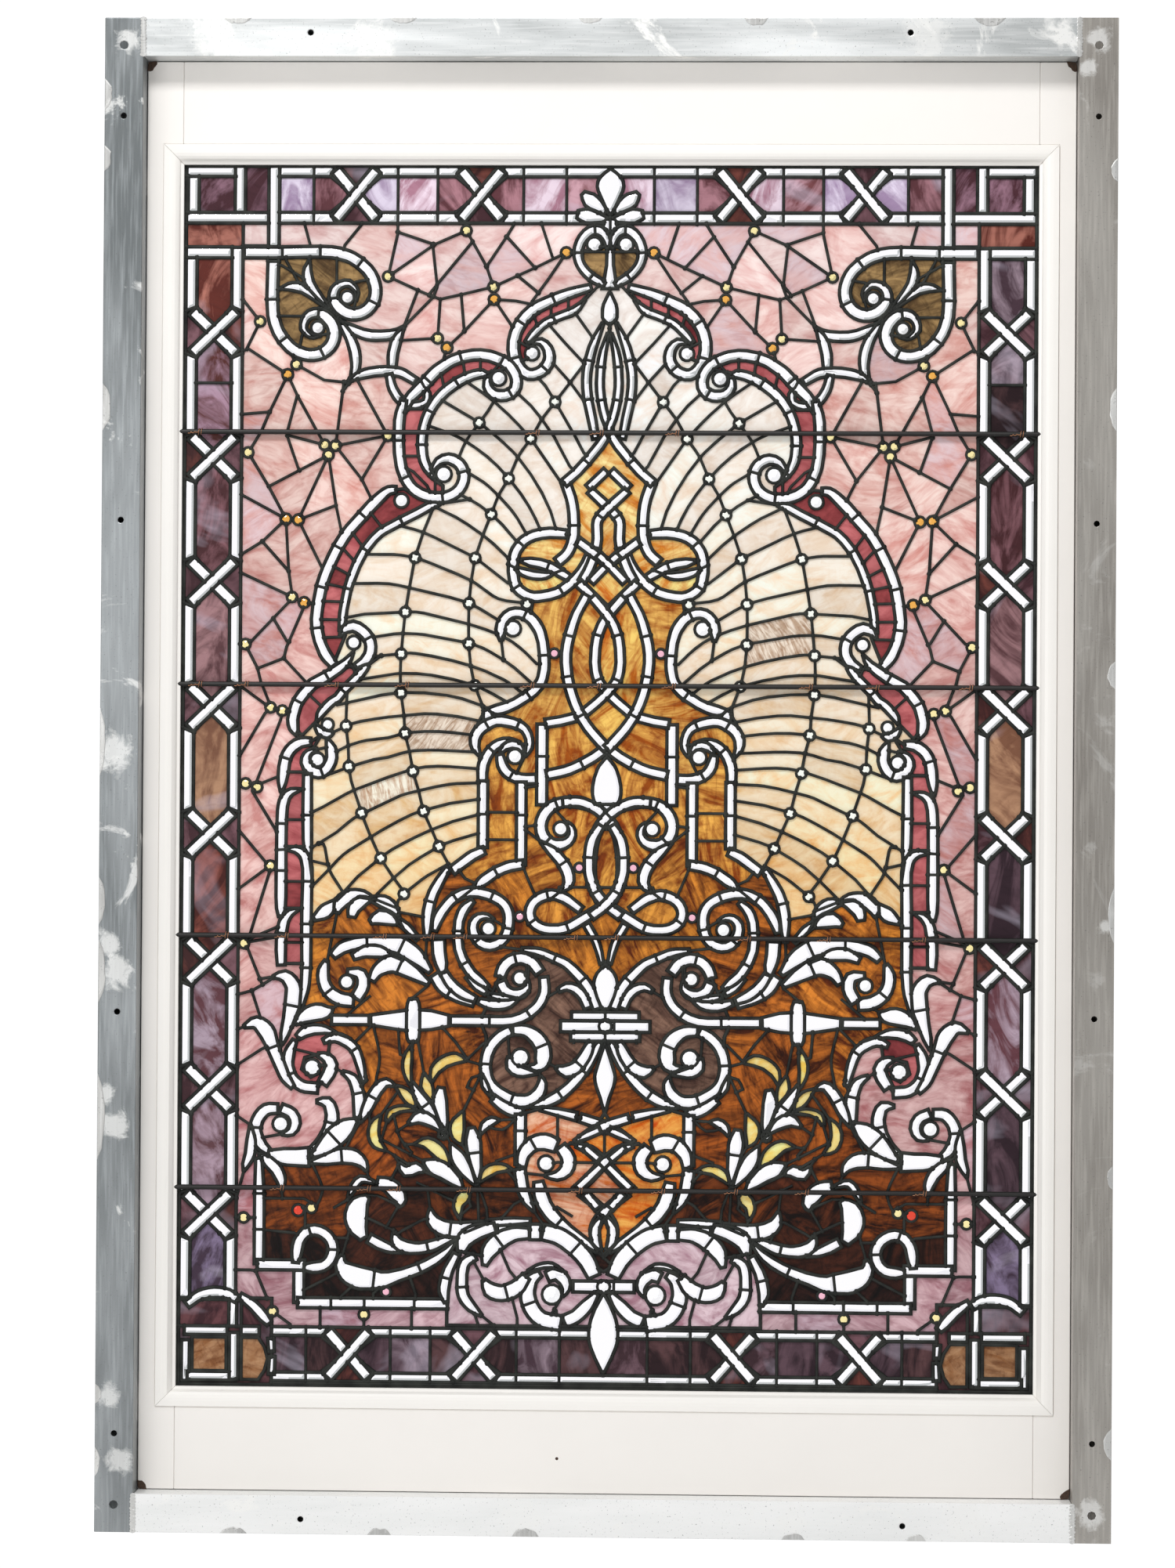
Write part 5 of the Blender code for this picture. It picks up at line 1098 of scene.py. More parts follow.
class Sheets:
    """Gathers the faces of one kind of glass into one mesh, with each piece's two tones and its grain."""

    def __init__(self):
        self.verts, self.faces, self.slots, self.first, self.second, self.grain = [], [], [], [], [], []

    def add(self, verts, faces, slots, first=(1, 1, 1), second=(1, 1, 1), turn=0.0, shift=(0, 0)):
        base = len(self.verts)
        self.verts += verts
        cos, sin = math.cos(turn), math.sin(turn)
        for face, slot in zip(faces, slots):
            self.faces.append([base + k for k in face])
            self.slots.append(slot)
            for k in face:
                x, _, z = verts[k]
                self.first.append((*first, 1))
                self.second.append((*second, 1))
                self.grain.append((x * cos + z * sin + shift[0], z * cos - x * sin + shift[1], 0))

    def build(self, name, materials):
        mesh = bpy.data.meshes.new(name)
        mesh.from_pydata(self.verts, [], self.faces)
        for mat in materials:
            mesh.materials.append(mat)
        mesh.polygons.foreach_set("material_index", self.slots)
        for label, values, kind in (
            ("first", self.first, "FLOAT_COLOR"),
            ("second", self.second, "FLOAT_COLOR"),
            ("grain", self.grain, "FLOAT_VECTOR"),
        ):
            made = mesh.attributes.new(label, kind, "CORNER")
            key = "color" if kind == "FLOAT_COLOR" else "vector"
            made.data.foreach_set(key, np.array(values, np.float32).ravel())
        mesh.update()
        made = bpy.data.objects.new(name, mesh)
        bpy.context.scene.collection.objects.link(made)
        return made


def plate(verts, faces, heights, front_y, back_y):
    """A closed piece of glass: its front raised by the heights, its back flat."""
    used = sorted({int(k) for face in faces for k in face})
    place = {k: n for n, k in enumerate(used)}
    count = len(used)
    out = [world(*verts[k], front_y - heights[k] * MM) for k in used]
    out += [world(*verts[k], back_y) for k in used]
    made, roles = [], []
    for face in faces:
        rise = [heights[k] for k in face]
        a, b, d = ([*verts[k], heights[k]] for k in face)
        made.append([place[k] for k in reversed(face)])
        roles.append(("face" if max(rise) - min(rise) < 0.15 else "facet", (a, b, d)))
        made.append([place[k] + count for k in face])
        roles.append(("back", None))
    for a, b in rim_edges(faces):
        made.append([place[a], place[b], place[b] + count, place[a] + count])
        roles.append(("wall", None))
    return out, made, roles


def facet_slot(role, corners, painted_shade):
    """Slot 0 for plain faces and facets that catch the light; 1 and 2 for those that lean right or down,
    which take painted shade as a paler and a deep grey tint of the clear glass.
    """
    if role != "facet":
        return 0
    a, b, d = (np.array(p, float) for p in corners)
    lean = np.cross(b - a, d - a)
    if lean[2] < 0:
        lean = -lean
    lean /= max(np.linalg.norm(lean), 1e-9)
    side = -lean[0] * 0.7 - lean[1] * 0.7
    if side > 0.2 and painted_shade:
        return 2
    return 1 if side > 0.04 else 0


def bevelled(verts, faces, kind):
    """A piece cut again with its bevels, or with the facets or dome of a jewel."""
    rim = rim_edges(faces)
    starts = np.array([verts[a] for a, _ in rim])
    ends = np.array([verts[b] for _, b in rim])
    used = sorted({k for edge in rim for k in edge})
    local = {k: n for n, k in enumerate(used)}
    points = [tuple(verts[k]) for k in used]
    heights = [0.0] * len(points)
    edges = [(local[a], local[b]) for a, b in rim]
    if kind in JEWELS:
        radius = math.sqrt(sum(area_of(verts[list(face)]) for face in faces) / math.pi)
        count = 10 if kind == "star" else 8
        rings = JEWELS[kind]
        centre_at = np.array([verts[k] for k in used]).mean(0)
        for share, rise, wobble in rings:
            for k in range(count):
                turn = 2 * math.pi * (k + 0.5) / count
                out = radius * share * (1 + (wobble if k % 2 else -wobble))
                points.append((centre_at[0] + out * math.cos(turn), centre_at[1] + out * math.sin(turn)))
                heights.append(rise * (1 - wobble if k % 2 else 1 + wobble))
        points.append(tuple(centre_at))
        heights.append(rings[-1][1])
    else:
        normals = {}
        placed = {}
        for (a, b), start, end in zip(rim, starts, ends):
            run = end - start
            normal = np.array([-run[1], run[0]]) / max(np.hypot(*run), 1e-9)
            normals.setdefault(a, []).append(normal)
            normals.setdefault(b, []).append(normal)
        order = list(normals)
        found, depths, owners = [], [], []
        for k in order:
            pair = normals[k]
            if len(pair) != 2:
                continue
            way = pair[0] + pair[1]
            size = max(np.hypot(*way) / 2, 0.35)
            way = way / max(np.hypot(*way), 1e-9) / size
            for depth in (CAME / 2 + BEVEL, CAME / 2 + BEVEL * 0.5):
                found.append(verts[k] + way * depth)
                depths.append(depth)
                owners.append(k)
        if found:
            found = np.array(found)
            gap = away_from(found, starts, ends)
            for n, k in enumerate(owners):
                if k in placed or gap[n] < depths[n] * 0.93:
                    continue
                near = [p for p in placed.values() if math.dist(found[n], points[p]) < 0.5]
                if near:
                    placed[k] = near[0]
                    continue
                placed[k] = len(points)
                points.append(tuple(found[n]))
                heights.append(BEVEL_RISE * (depths[n] - CAME / 2) / BEVEL)
            for a, b in rim:
                if a in placed and b in placed and placed[a] != placed[b]:
                    edges.append((placed[a], placed[b]))
    made = delaunay_2d_cdt([Vector(p) for p in points], edges, [], 0, 0.02, True)
    out_verts = np.array([tuple(v) for v in made[0]])
    made_faces = np.array(made[2])
    within = enclosed(out_verts[made_faces].mean(1), starts, ends)
    lift = np.zeros(len(out_verts))
    for n, sources in enumerate(made[3]):
        lift[n] = max((heights[s] for s in sources), default=0.0)
    return out_verts, [tuple(face) for face in made_faces[within]], lift


def area_of(corners):
    a, b, d = corners
    return abs((b - a)[0] * (d - a)[1] - (b - a)[1] * (d - a)[0]) / 2


def chains_of(leads):
    """The lead edges strung into chains that end where three or more meet."""
    near = {}
    for a, b in leads:
        near.setdefault(a, []).append(b)
        near.setdefault(b, []).append(a)
    done = set()
    chains = []

    def follow(start, there):
        chain = [start, there]
        done.add((min(start, there), max(start, there)))
        while len(near[chain[-1]]) == 2:
            ways = [n for n in near[chain[-1]] if (min(n, chain[-1]), max(n, chain[-1])) not in done]
            if not ways:
                break
            done.add((min(ways[0], chain[-1]), max(ways[0], chain[-1])))
            chain.append(ways[0])
        return chain

    for start, ways in near.items():
        if len(ways) != 2:
            for there in ways:
                if (min(start, there), max(start, there)) not in done:
                    chains.append(follow(start, there))
    for start, ways in near.items():
        for there in ways:
            if (min(start, there), max(start, there)) not in done:
                chains.append(follow(start, there))
    joints = [k for k, ways in near.items() if len(ways) > 2]
    return chains, joints


def thinned(path, slack):
    """A path with only the points that its bends need."""
    keep = {0, len(path) - 1}
    spans = [(0, len(path) - 1)]
    while spans:
        i, j = spans.pop()
        if j - i < 2:
            continue
        run = path[j] - path[i]
        length = np.hypot(*run)
        off = path[i + 1 : j] - path[i]
        away = np.hypot(*off.T) if length < 1e-6 else np.abs(off[:, 0] * run[1] - off[:, 1] * run[0]) / length
        k = int(np.argmax(away))
        if away[k] > slack:
            keep.add(i + 1 + k)
            spans += [(i, i + 1 + k), (i + 1 + k, j)]
    return path[sorted(keep)]


FRONT_SECTION = ((-1.0, 0.0), (-0.78, 0.85), (0.0, 1.0), (0.78, 0.85), (1.0, 0.0))
BACK_SECTION = ((-1.0, 0.0), (-0.6, 1.0), (0.6, 1.0), (1.0, 0.0))


def lead_mesh(name, verts, leads, section, root_y, top_y, mat, blob_sides):
    """The visible half of every lead, front or back, with solder where they meet."""
    chains, joints = chains_of(leads)
    out, faces = [], []
    rise = top_y - root_y
    for chain in chains:
        width = max(leads[(min(a, b), max(a, b))] for a, b in zip(chain, chain[1:]))
        path = thinned(verts[chain], 0.36)
        if len(path) < 2 or math.dist(path[0], path[-1]) < 0.5 and len(path) < 3:
            continue
        run = np.diff(path, axis=0)
        run /= np.maximum(np.hypot(run[:, 0], run[:, 1])[:, None], 1e-9)
        normal = np.stack([-run[:, 1], run[:, 0]], 1)
        mitre = np.vstack([normal[:1], normal[:-1] + normal[1:], normal[-1:]])
        size = np.hypot(mitre[:, 0], mitre[:, 1])
        mitre[1:-1] /= np.maximum(size[1:-1, None] ** 2 / 2, 0.6)
        step = len(section)
        base = len(out)
        for place, aside in zip(path, mitre):
            swell = width * (1 + draw.uniform(-0.05, 0.05)) / 2
            for across, up in section:
                spot = place + aside * across * swell
                out.append(world(*spot, root_y + rise * up))
        for k in range(len(path) - 1):
            for n in range(step - 1):
                first = base + k * step + n
                faces.append((first, first + 1, first + step + 1, first + step))
    rings = ((1.0, 0.15), (0.68, 0.95))
    for k in joints:
        radius = draw.uniform(2.9, 3.9)
        base = len(out)
        for share, up in rings:
            for n in range(blob_sides):
                turn = 2 * math.pi * n / blob_sides
                spot = verts[k] + radius * share * np.array([math.cos(turn), math.sin(turn)])
                out.append(world(*spot, root_y + rise * up))
        out.append(world(*verts[k], root_y + rise * 1.1))
        for ring in range(len(rings) - 1):
            for n in range(blob_sides):
                a, b = base + ring * blob_sides + n, base + ring * blob_sides + (n + 1) % blob_sides
                faces.append((a, b, b + blob_sides, a + blob_sides))
        last = base + (len(rings) - 1) * blob_sides
        for n in range(blob_sides):
            faces.append((last + n, last + (n + 1) % blob_sides, base + len(rings) * blob_sides))
    mesh = bpy.data.meshes.new(name)
    mesh.from_pydata(out, [], faces)
    mesh.materials.append(mat)
    mesh.polygons.foreach_set("use_smooth", [True] * len(mesh.polygons))
    mesh.update()
    made = bpy.data.objects.new(name, mesh)
    bpy.context.scene.collection.objects.link(made)
    bm = bmesh.new()
    bm.from_mesh(mesh)
    bmesh.ops.recalc_face_normals(bm, faces=bm.faces)
    for face in bm.faces:
        toward = face.normal.y if top_y < root_y else -face.normal.y
        if toward > 0.3:
            face.normal_flip()
    bm.to_mesh(mesh)
    bm.free()
    return made


# Glass colours: pairs of tones for each kind, by height where that matters
def mix(a, b, t):
    t = min(max(t, 0), 1)
    return tuple(p + (q - p) * t for p, q in zip(a, b))


def ramp(stops, at):
    """A tone between (place, tone) stops, given from high to low places."""
    for (hi, top), (lo, low) in zip(stops, stops[1:]):
        if at >= lo:
            return mix(low, top, (at - lo) / (hi - lo))
    return stops[-1][1]


def srgb(r, g, b):
    """Screen values from 0 to 255 as linear light."""
    return tuple(((v / 255 + 0.055) / 1.055) ** 2.4 if v > 10 else v / 255 / 12.92 for v in (r, g, b))


WEB_TONES = [(1400, srgb(252, 247, 243)), (1150, srgb(253, 243, 232)), (900, srgb(253, 238, 218)),
             (740, srgb(252, 232, 200)), (620, srgb(250, 218, 165))]
WEB_STREAKS = [(1400, srgb(226, 212, 205)), (1150, srgb(238, 216, 194)), (900, srgb(240, 206, 164)),
               (740, srgb(238, 196, 138)), (620, srgb(232, 168, 88))]
PINK_TONES = [(1490, srgb(242, 220, 217)), (1250, srgb(244, 214, 205)), (950, srgb(243, 208, 200)),
              (650, srgb(238, 198, 192)), (300, srgb(228, 186, 186)), (60, srgb(214, 182, 190))]
PINK_STREAKS = [(1490, srgb(222, 182, 180)), (1250, srgb(216, 158, 148)), (950, srgb(206, 144, 138)),
                (650, srgb(196, 128, 124)), (300, srgb(180, 112, 116)), (60, srgb(156, 112, 124))]
AMBER_TONES = [(1220, srgb(255, 232, 166)), (1080, srgb(255, 228, 150)), (950, srgb(255, 212, 118)),
               (820, srgb(250, 188, 92)), (700, srgb(250, 182, 82)), (580, srgb(238, 150, 54)),
               (430, srgb(196, 108, 38)), (290, srgb(172, 86, 28)), (215, srgb(84, 40, 22)),
               (107, srgb(46, 24, 22))]
AMBER_STREAKS = [(1220, srgb(226, 160, 70)), (1080, srgb(216, 134, 44)), (950, srgb(196, 104, 18)),
                 (820, srgb(156, 76, 12)), (700, srgb(146, 66, 10)), (580, srgb(104, 42, 8)),
                 (430, srgb(62, 24, 6)), (290, srgb(44, 16, 6)), (215, srgb(20, 8, 6)),
                 (107, srgb(12, 6, 6))]
SIDE_CELLS = (
    (1400, srgb(172, 110, 96), srgb(92, 38, 30)),
    (1268, srgb(176, 140, 160), srgb(90, 44, 40)),
    (1108, srgb(140, 96, 104), srgb(72, 38, 42)),
    (948, srgb(170, 128, 132), srgb(96, 62, 66)),
    (787, srgb(176, 134, 104), srgb(122, 82, 62)),
    (625, srgb(140, 74, 62), srgb(72, 28, 24)),
    (462, srgb(188, 166, 182), srgb(104, 62, 70)),
    (300, srgb(182, 156, 172), srgb(98, 64, 70)),
    (160, srgb(136, 120, 150), srgb(66, 50, 66)),
)
HEAD_PAIRS = (
    (srgb(224, 212, 232), srgb(156, 132, 164)),
    (srgb(232, 212, 226), srgb(166, 118, 136)),
    (srgb(166, 118, 128), srgb(92, 52, 58)),
    (srgb(208, 162, 174), srgb(122, 70, 74)),
    (srgb(216, 200, 224), srgb(130, 92, 106)),
)
FOOT_PAIRS = (
    (srgb(120, 92, 102), srgb(60, 40, 46)),
    (srgb(98, 74, 84), srgb(50, 34, 42)),
    (srgb(150, 130, 142), srgb(72, 52, 62)),
    (srgb(88, 60, 62), srgb(42, 26, 30)),
)


SHIELD_PAIRS = (
    (srgb(255, 186, 92), srgb(222, 108, 18)),
    (srgb(244, 196, 164), srgb(214, 112, 48)),
)


def tones(kind, x, z):
    """The two tones of a piece of opal glass, by what and where it is."""
    if kind == "web":
        pair = ramp(WEB_TONES, z), ramp(WEB_STREAKS, z)
    elif kind == "pink":
        pair = ramp(PINK_TONES, z), ramp(PINK_STREAKS, z)
        if draw.random() < 0.25:
            pair = mix(pair[0], srgb(196, 172, 190), 0.5), pair[1]
    elif kind == "amber":
        pair = ramp(AMBER_TONES, z), ramp(AMBER_STREAKS, z)
    elif kind == "red":
        deep = draw.random() < 0.15 or 800 < z < 830 or abs(z - 940) < 20
        pair = (srgb(150, 66, 68), srgb(108, 40, 44)) if deep else (srgb(200, 112, 114), srgb(164, 78, 82))
    elif kind == "olive":
        pair = srgb(164, 132, 86), srgb(88, 66, 40)
    elif kind == "umber":
        pair = srgb(132, 100, 84), srgb(72, 48, 40)
    elif kind == "shield":
        pair = draw.choice(SHIELD_PAIRS)
    elif kind == "mauve":
        pair = srgb(226, 200, 208), srgb(170, 126, 140)
    elif kind == "petal":
        pair = srgb(255, 236, 160), srgb(250, 200, 84)
    elif kind == "ripple":
        pair = srgb(248, 232, 214), srgb(196, 166, 140)
    elif kind == "tan":
        pair = srgb(178, 136, 100), srgb(140, 92, 56)
    elif kind == "dusk":
        pair = srgb(104, 64, 68), srgb(58, 32, 38)
    elif kind == "crossing":
        pair = draw.choice(((srgb(120, 84, 92), srgb(66, 38, 44)), (srgb(112, 60, 52), srgb(60, 30, 30))))
    elif kind == "edge":
        pair = srgb(196, 130, 84), srgb(140, 78, 50)
    elif abs(x) > 420 and z < 118:
        pair = srgb(104, 64, 68), srgb(58, 32, 38)
    elif abs(x) > 440 and z > 1488:
        pair = srgb(140, 104, 120), srgb(70, 38, 46)
    elif abs(x) > IN_X:
        cell = min(SIDE_CELLS, key=lambda c: abs(c[0] - z))
        pair = cell[1:] if x > 0 or draw.random() < 0.6 else draw.choice(FOOT_PAIRS + (SIDE_CELLS[2][1:],))
    else:
        pair = draw.choice(HEAD_PAIRS if z > 800 else FOOT_PAIRS)
    light = draw.uniform(0.85, 1.12)
    return tuple(tuple(min(v * light, 0.95) for v in tone) for tone in pair)


def new_material(name, color=(0.8, 0.8, 0.8), roughness=0.4, metallic=0.0, **sockets):
    made = bpy.data.materials.new(name)
    made.use_nodes = True
    shader = made.node_tree.nodes["Principled BSDF"]
    shader.inputs["Base Color"].default_value = (*color, 1)
    shader.inputs["Roughness"].default_value = roughness
    shader.inputs["Metallic"].default_value = metallic
    for key, value in sockets.items():
        shader.inputs[key.replace("_", " ")].default_value = value
    return made, made.node_tree.nodes, made.node_tree.links, shader


def noise(nodes, links, vector, scale, detail=3, distortion=0.0, rough=0.5):
    made = nodes.new("ShaderNodeTexNoise")
    made.inputs["Scale"].default_value = scale
    made.inputs["Detail"].default_value = detail
    made.inputs["Distortion"].default_value = distortion
    made.inputs["Roughness"].default_value = rough
    links.new(vector, made.inputs["Vector"])
    return made.outputs["Fac"]


def stretched(nodes, links, source, scale):
    made = nodes.new("ShaderNodeMapping")
    made.inputs["Scale"].default_value = scale
    links.new(source, made.inputs["Vector"])
    return made.outputs["Vector"]


def ranged(nodes, links, value, low, high, to_low=0.0, to_high=1.0):
    made = nodes.new("ShaderNodeMapRange")
    for key, number in (("From Min", low), ("From Max", high), ("To Min", to_low), ("To Max", to_high)):
        made.inputs[key].default_value = number
    links.new(value, made.inputs["Value"])
    return made.outputs["Result"]


def mixed(nodes, links, share, first, second, blend="MIX"):
    made = nodes.new("ShaderNodeMix")
    made.data_type = "RGBA"
    made.blend_type = blend
    for key, value in (("Factor", share), ("A", first), ("B", second)):
        socket = made.inputs[key]
        if isinstance(value, (int, float)):
            socket.default_value = value
        elif isinstance(value, tuple):
            socket.default_value = (*value, 1)
        else:
            links.new(value, socket)
    return made.outputs["Result"]


def bumped(nodes, links, shader, height, strength, distance):
    made = nodes.new("ShaderNodeBump")
    made.inputs["Strength"].default_value = strength
    made.inputs["Distance"].default_value = distance
    links.new(height, made.inputs["Height"])
    links.new(made.outputs["Normal"], shader.inputs["Normal"])


def attribute(nodes, name, output):
    made = nodes.new("ShaderNodeAttribute")
    made.attribute_name = name
    return made.outputs[output]


def opal_glass(name, streak=30, stretch=(0.4, 1, 1), low=0.4, high=0.62, ripple=0.5, wisps=0.0, crossed=0.0):
    """Streaky glass that is hardly seen through; its two tones and its grain come with each piece."""
    made, nodes, links, shader = new_material(name, roughness=0.3, Specular_IOR_Level=0.18)
    grain = attribute(nodes, "grain", "Vector")
    broad = noise(nodes, links, stretched(nodes, links, grain, stretch), streak, 5, 1.8, 0.6)
    share = ranged(nodes, links, broad, low, high)
    first, second = attribute(nodes, "first", "Color"), attribute(nodes, "second", "Color")
    color = mixed(nodes, links, share, first, second)
    if wisps:
        drift = noise(nodes, links, stretched(nodes, links, grain, (0.6, 1, 1)), streak * 0.45, 3, 1.5)
        veil = ranged(nodes, links, drift, 0.55, 0.75, 0.0, wisps)
        color = mixed(nodes, links, veil, color, (0.6, 0.54, 0.66))
    # Painted shade in the ripples' troughs and a painted highlight on their crests, following the noise that
    # also makes the bump
    ripple_painted_shade = mixed(nodes, links, 1.0, color, second, "MULTIPLY")
    wrinkle = noise(nodes, links, stretched(nodes, links, grain, (0.3, 1, 1)), 110, 3, 0.8, 0.55)
    color = mixed(nodes, links, ranged(nodes, links, wrinkle, 0.32, 0.5, ripple, 0.0), color, ripple_painted_shade)
    if crossed:
        across = noise(nodes, links, stretched(nodes, links, grain, (1, 0.3, 1)), 150, 3, 0.8, 0.55)
        color = mixed(nodes, links, ranged(nodes, links, across, 0.34, 0.5, crossed, 0.0), color, ripple_painted_shade)
    light = ranged(nodes, links, wrinkle, 0.55, 0.72, 0.0, ripple * 0.6)
    color = mixed(nodes, links, light, color, (1.0, 0.97, 0.93), "SOFT_LIGHT")
    links.new(color, shader.inputs["Base Color"])
    bumped(nodes, links, shader, wrinkle, 0.3, 0.0008)
    return made


def clear_glass(name, color, roughness=0.02):
    made, _, _, _ = new_material(name, color, roughness, 0.0, Transmission_Weight=1.0, IOR=1.46)
    return made


def aluminium(name, dull, bright, along, smudge, rubs=(), metallic=0.55):
    """Mill-finish box section: brushed along its length, blotched, and rubbed bright in places; the dull and
    bright tones given also carry painted light.
    """
    made, nodes, links, shader = new_material(name, dull, 0.38, metallic)
    place = nodes.new("ShaderNodeTexCoord").outputs["Object"]
    stretch = (0.05, 1, 1) if along == "x" else (1, 1, 0.05)
    brushed = noise(nodes, links, stretched(nodes, links, place, stretch), 300, 4)
    patches = noise(nodes, links, stretched(nodes, links, place, tuple(v**0.5 for v in stretch)), 14, 6, 0.6)
    color = mixed(nodes, links, ranged(nodes, links, patches, 0.35, 0.65), dull, bright)
    pale = tuple(min(v * 1.6, 0.95) for v in bright)
    color = mixed(nodes, links, ranged(nodes, links, brushed, 0.45, 0.75, 0.0, 0.4), color, pale)
    rubbed = noise(nodes, links, place, 9, 6, 1.2, 0.65)
    color = mixed(nodes, links, ranged(nodes, links, rubbed, 0.6, 0.66, 0.0, smudge), color, RUBBED)
    ragged = noise(nodes, links, place, 55, 5, 0.5, 0.7)
    for x, z, radius in rubs:
        away = nodes.new("ShaderNodeVectorMath")
        away.operation = "DISTANCE"
        away.inputs[1].default_value = (x, -FRAME_DEPTH, z)
        links.new(place, away.inputs[0])
        edge = nodes.new("ShaderNodeMath")
        edge.operation = "MULTIPLY_ADD"
        edge.inputs[1].default_value = radius * 2.4
        links.new(ragged, edge.inputs[0])
        links.new(away.outputs["Value"], edge.inputs[2])
        share = ranged(nodes, links, edge.outputs["Value"], radius * 1.8, radius * 2.3, 0.6, 0.0)
        color = mixed(nodes, links, share, color, RUBBED)
    specks = noise(nodes, links, place, 420, 2)
    color = mixed(nodes, links, ranged(nodes, links, specks, 0.66, 0.7, 0.0, 0.5), color, (0.12, 0.12, 0.12))
    links.new(color, shader.inputs["Base Color"])
    bumped(nodes, links, shader, brushed, 0.12, 0.0004)
    return made


def paint(name, tone):
    made, nodes, links, shader = new_material(name, tone, 0.42)
    place = nodes.new("ShaderNodeTexCoord").outputs["Object"]
    soft = noise(nodes, links, place, 6, 4)
    share = ranged(nodes, links, soft, 0.3, 0.7, 0.0, 0.5)
    color = mixed(nodes, links, share, tone, tuple(v * 0.94 for v in tone))
    links.new(color, shader.inputs["Base Color"])
    bumped(nodes, links, shader, noise(nodes, links, place, 160, 3), 0.05, 0.0005)
    return made


def lead():
    made, nodes, links, shader = new_material("lead", (0.016, 0.018, 0.016), 0.6, Specular_IOR_Level=0.3)
    place = nodes.new("ShaderNodeTexCoord").outputs["Object"]
    tarnish = noise(nodes, links, place, 45, 4)
    share = ranged(nodes, links, tarnish, 0.35, 0.7)
    color = mixed(nodes, links, share, (0.006, 0.007, 0.006), (0.028, 0.031, 0.026))
    links.new(color, shader.inputs["Base Color"])
    bumped(nodes, links, shader, noise(nodes, links, place, 600, 3), 0.2, 0.0004)
    return made


def plain(name, color, roughness, metallic=0.0, spread=0.85, scale=120):
    """A nearly even surface with faint mottling."""
    made, nodes, links, shader = new_material(name, color, roughness, metallic)
    place = nodes.new("ShaderNodeTexCoord").outputs["Object"]
    share = ranged(nodes, links, noise(nodes, links, place, scale, 3), 0.3, 0.7)
    mottled = mixed(nodes, links, share, color, tuple(v * spread for v in color))
    links.new(mottled, shader.inputs["Base Color"])
    return made


JEWELS = {
    "star": ((0.86, 1.0, 0.06), (0.55, 2.2, 0.2), (0.3, 2.9, 0.0)),
    "crystal": ((0.75, 1.4, 0.0), (0.4, 2.3, 0.0)),
    "citrine": ((0.75, 1.4, 0.0), (0.4, 2.3, 0.0)),
    "topaz": ((0.75, 1.4, 0.0), (0.4, 2.3, 0.0)),
    "rose": ((0.75, 1.4, 0.0), (0.4, 2.3, 0.0)),
    "ruby": ((0.75, 1.4, 0.0), (0.4, 2.3, 0.0)),
}
# Painted shade of a jewel's facets by slot: plain, leaning right or down, and deeply shaded
JEWEL_PAINTED_SHADES = (1, 0.8, 0.45)
OPAL_LOOKS = {
    "web": dict(streak=26, stretch=(0.5, 1, 1), low=0.42, high=0.7, ripple=0.3, crossed=0.12),
    "pink": dict(streak=24, stretch=(0.5, 1, 1), low=0.4, high=0.66, ripple=0.4),
    "border": dict(streak=20, stretch=(1, 0.4, 1), low=0.4, high=0.58, ripple=0.15, wisps=0.5),
    "amber": dict(streak=36, stretch=(0.3, 1, 1), low=0.38, high=0.62, ripple=0.5, crossed=0.35),
    "ripple": dict(streak=150, stretch=(1, 0.15, 1), low=0.42, high=0.6, ripple=0.3, crossed=0.5),
    "plain": dict(streak=26, stretch=(0.6, 1, 1), low=0.42, high=0.66, ripple=0.25),
}
LOOK_OF = {
    "web": "web", "pink": "pink", "lilac": "border", "crossing": "border", "dusk": "border", "amber": "amber",
    "umber": "amber", "olive": "amber", "shield": "amber", "tan": "amber", "ripple": "ripple",
}


def recolour(verts, faces, pieces, kinds, old, new, places):
    """Give the pieces of one kind that lie at certain places another kind."""
    these = [n for n, kind in enumerate(kinds) if kind == old]
    middles = [verts[faces[pieces[n]]].mean(1) for n in these]
    for place in places:
        away = [np.hypot(*(middle - place).T).min() for middle in middles]
        kinds[these[int(np.argmin(away))]] = new


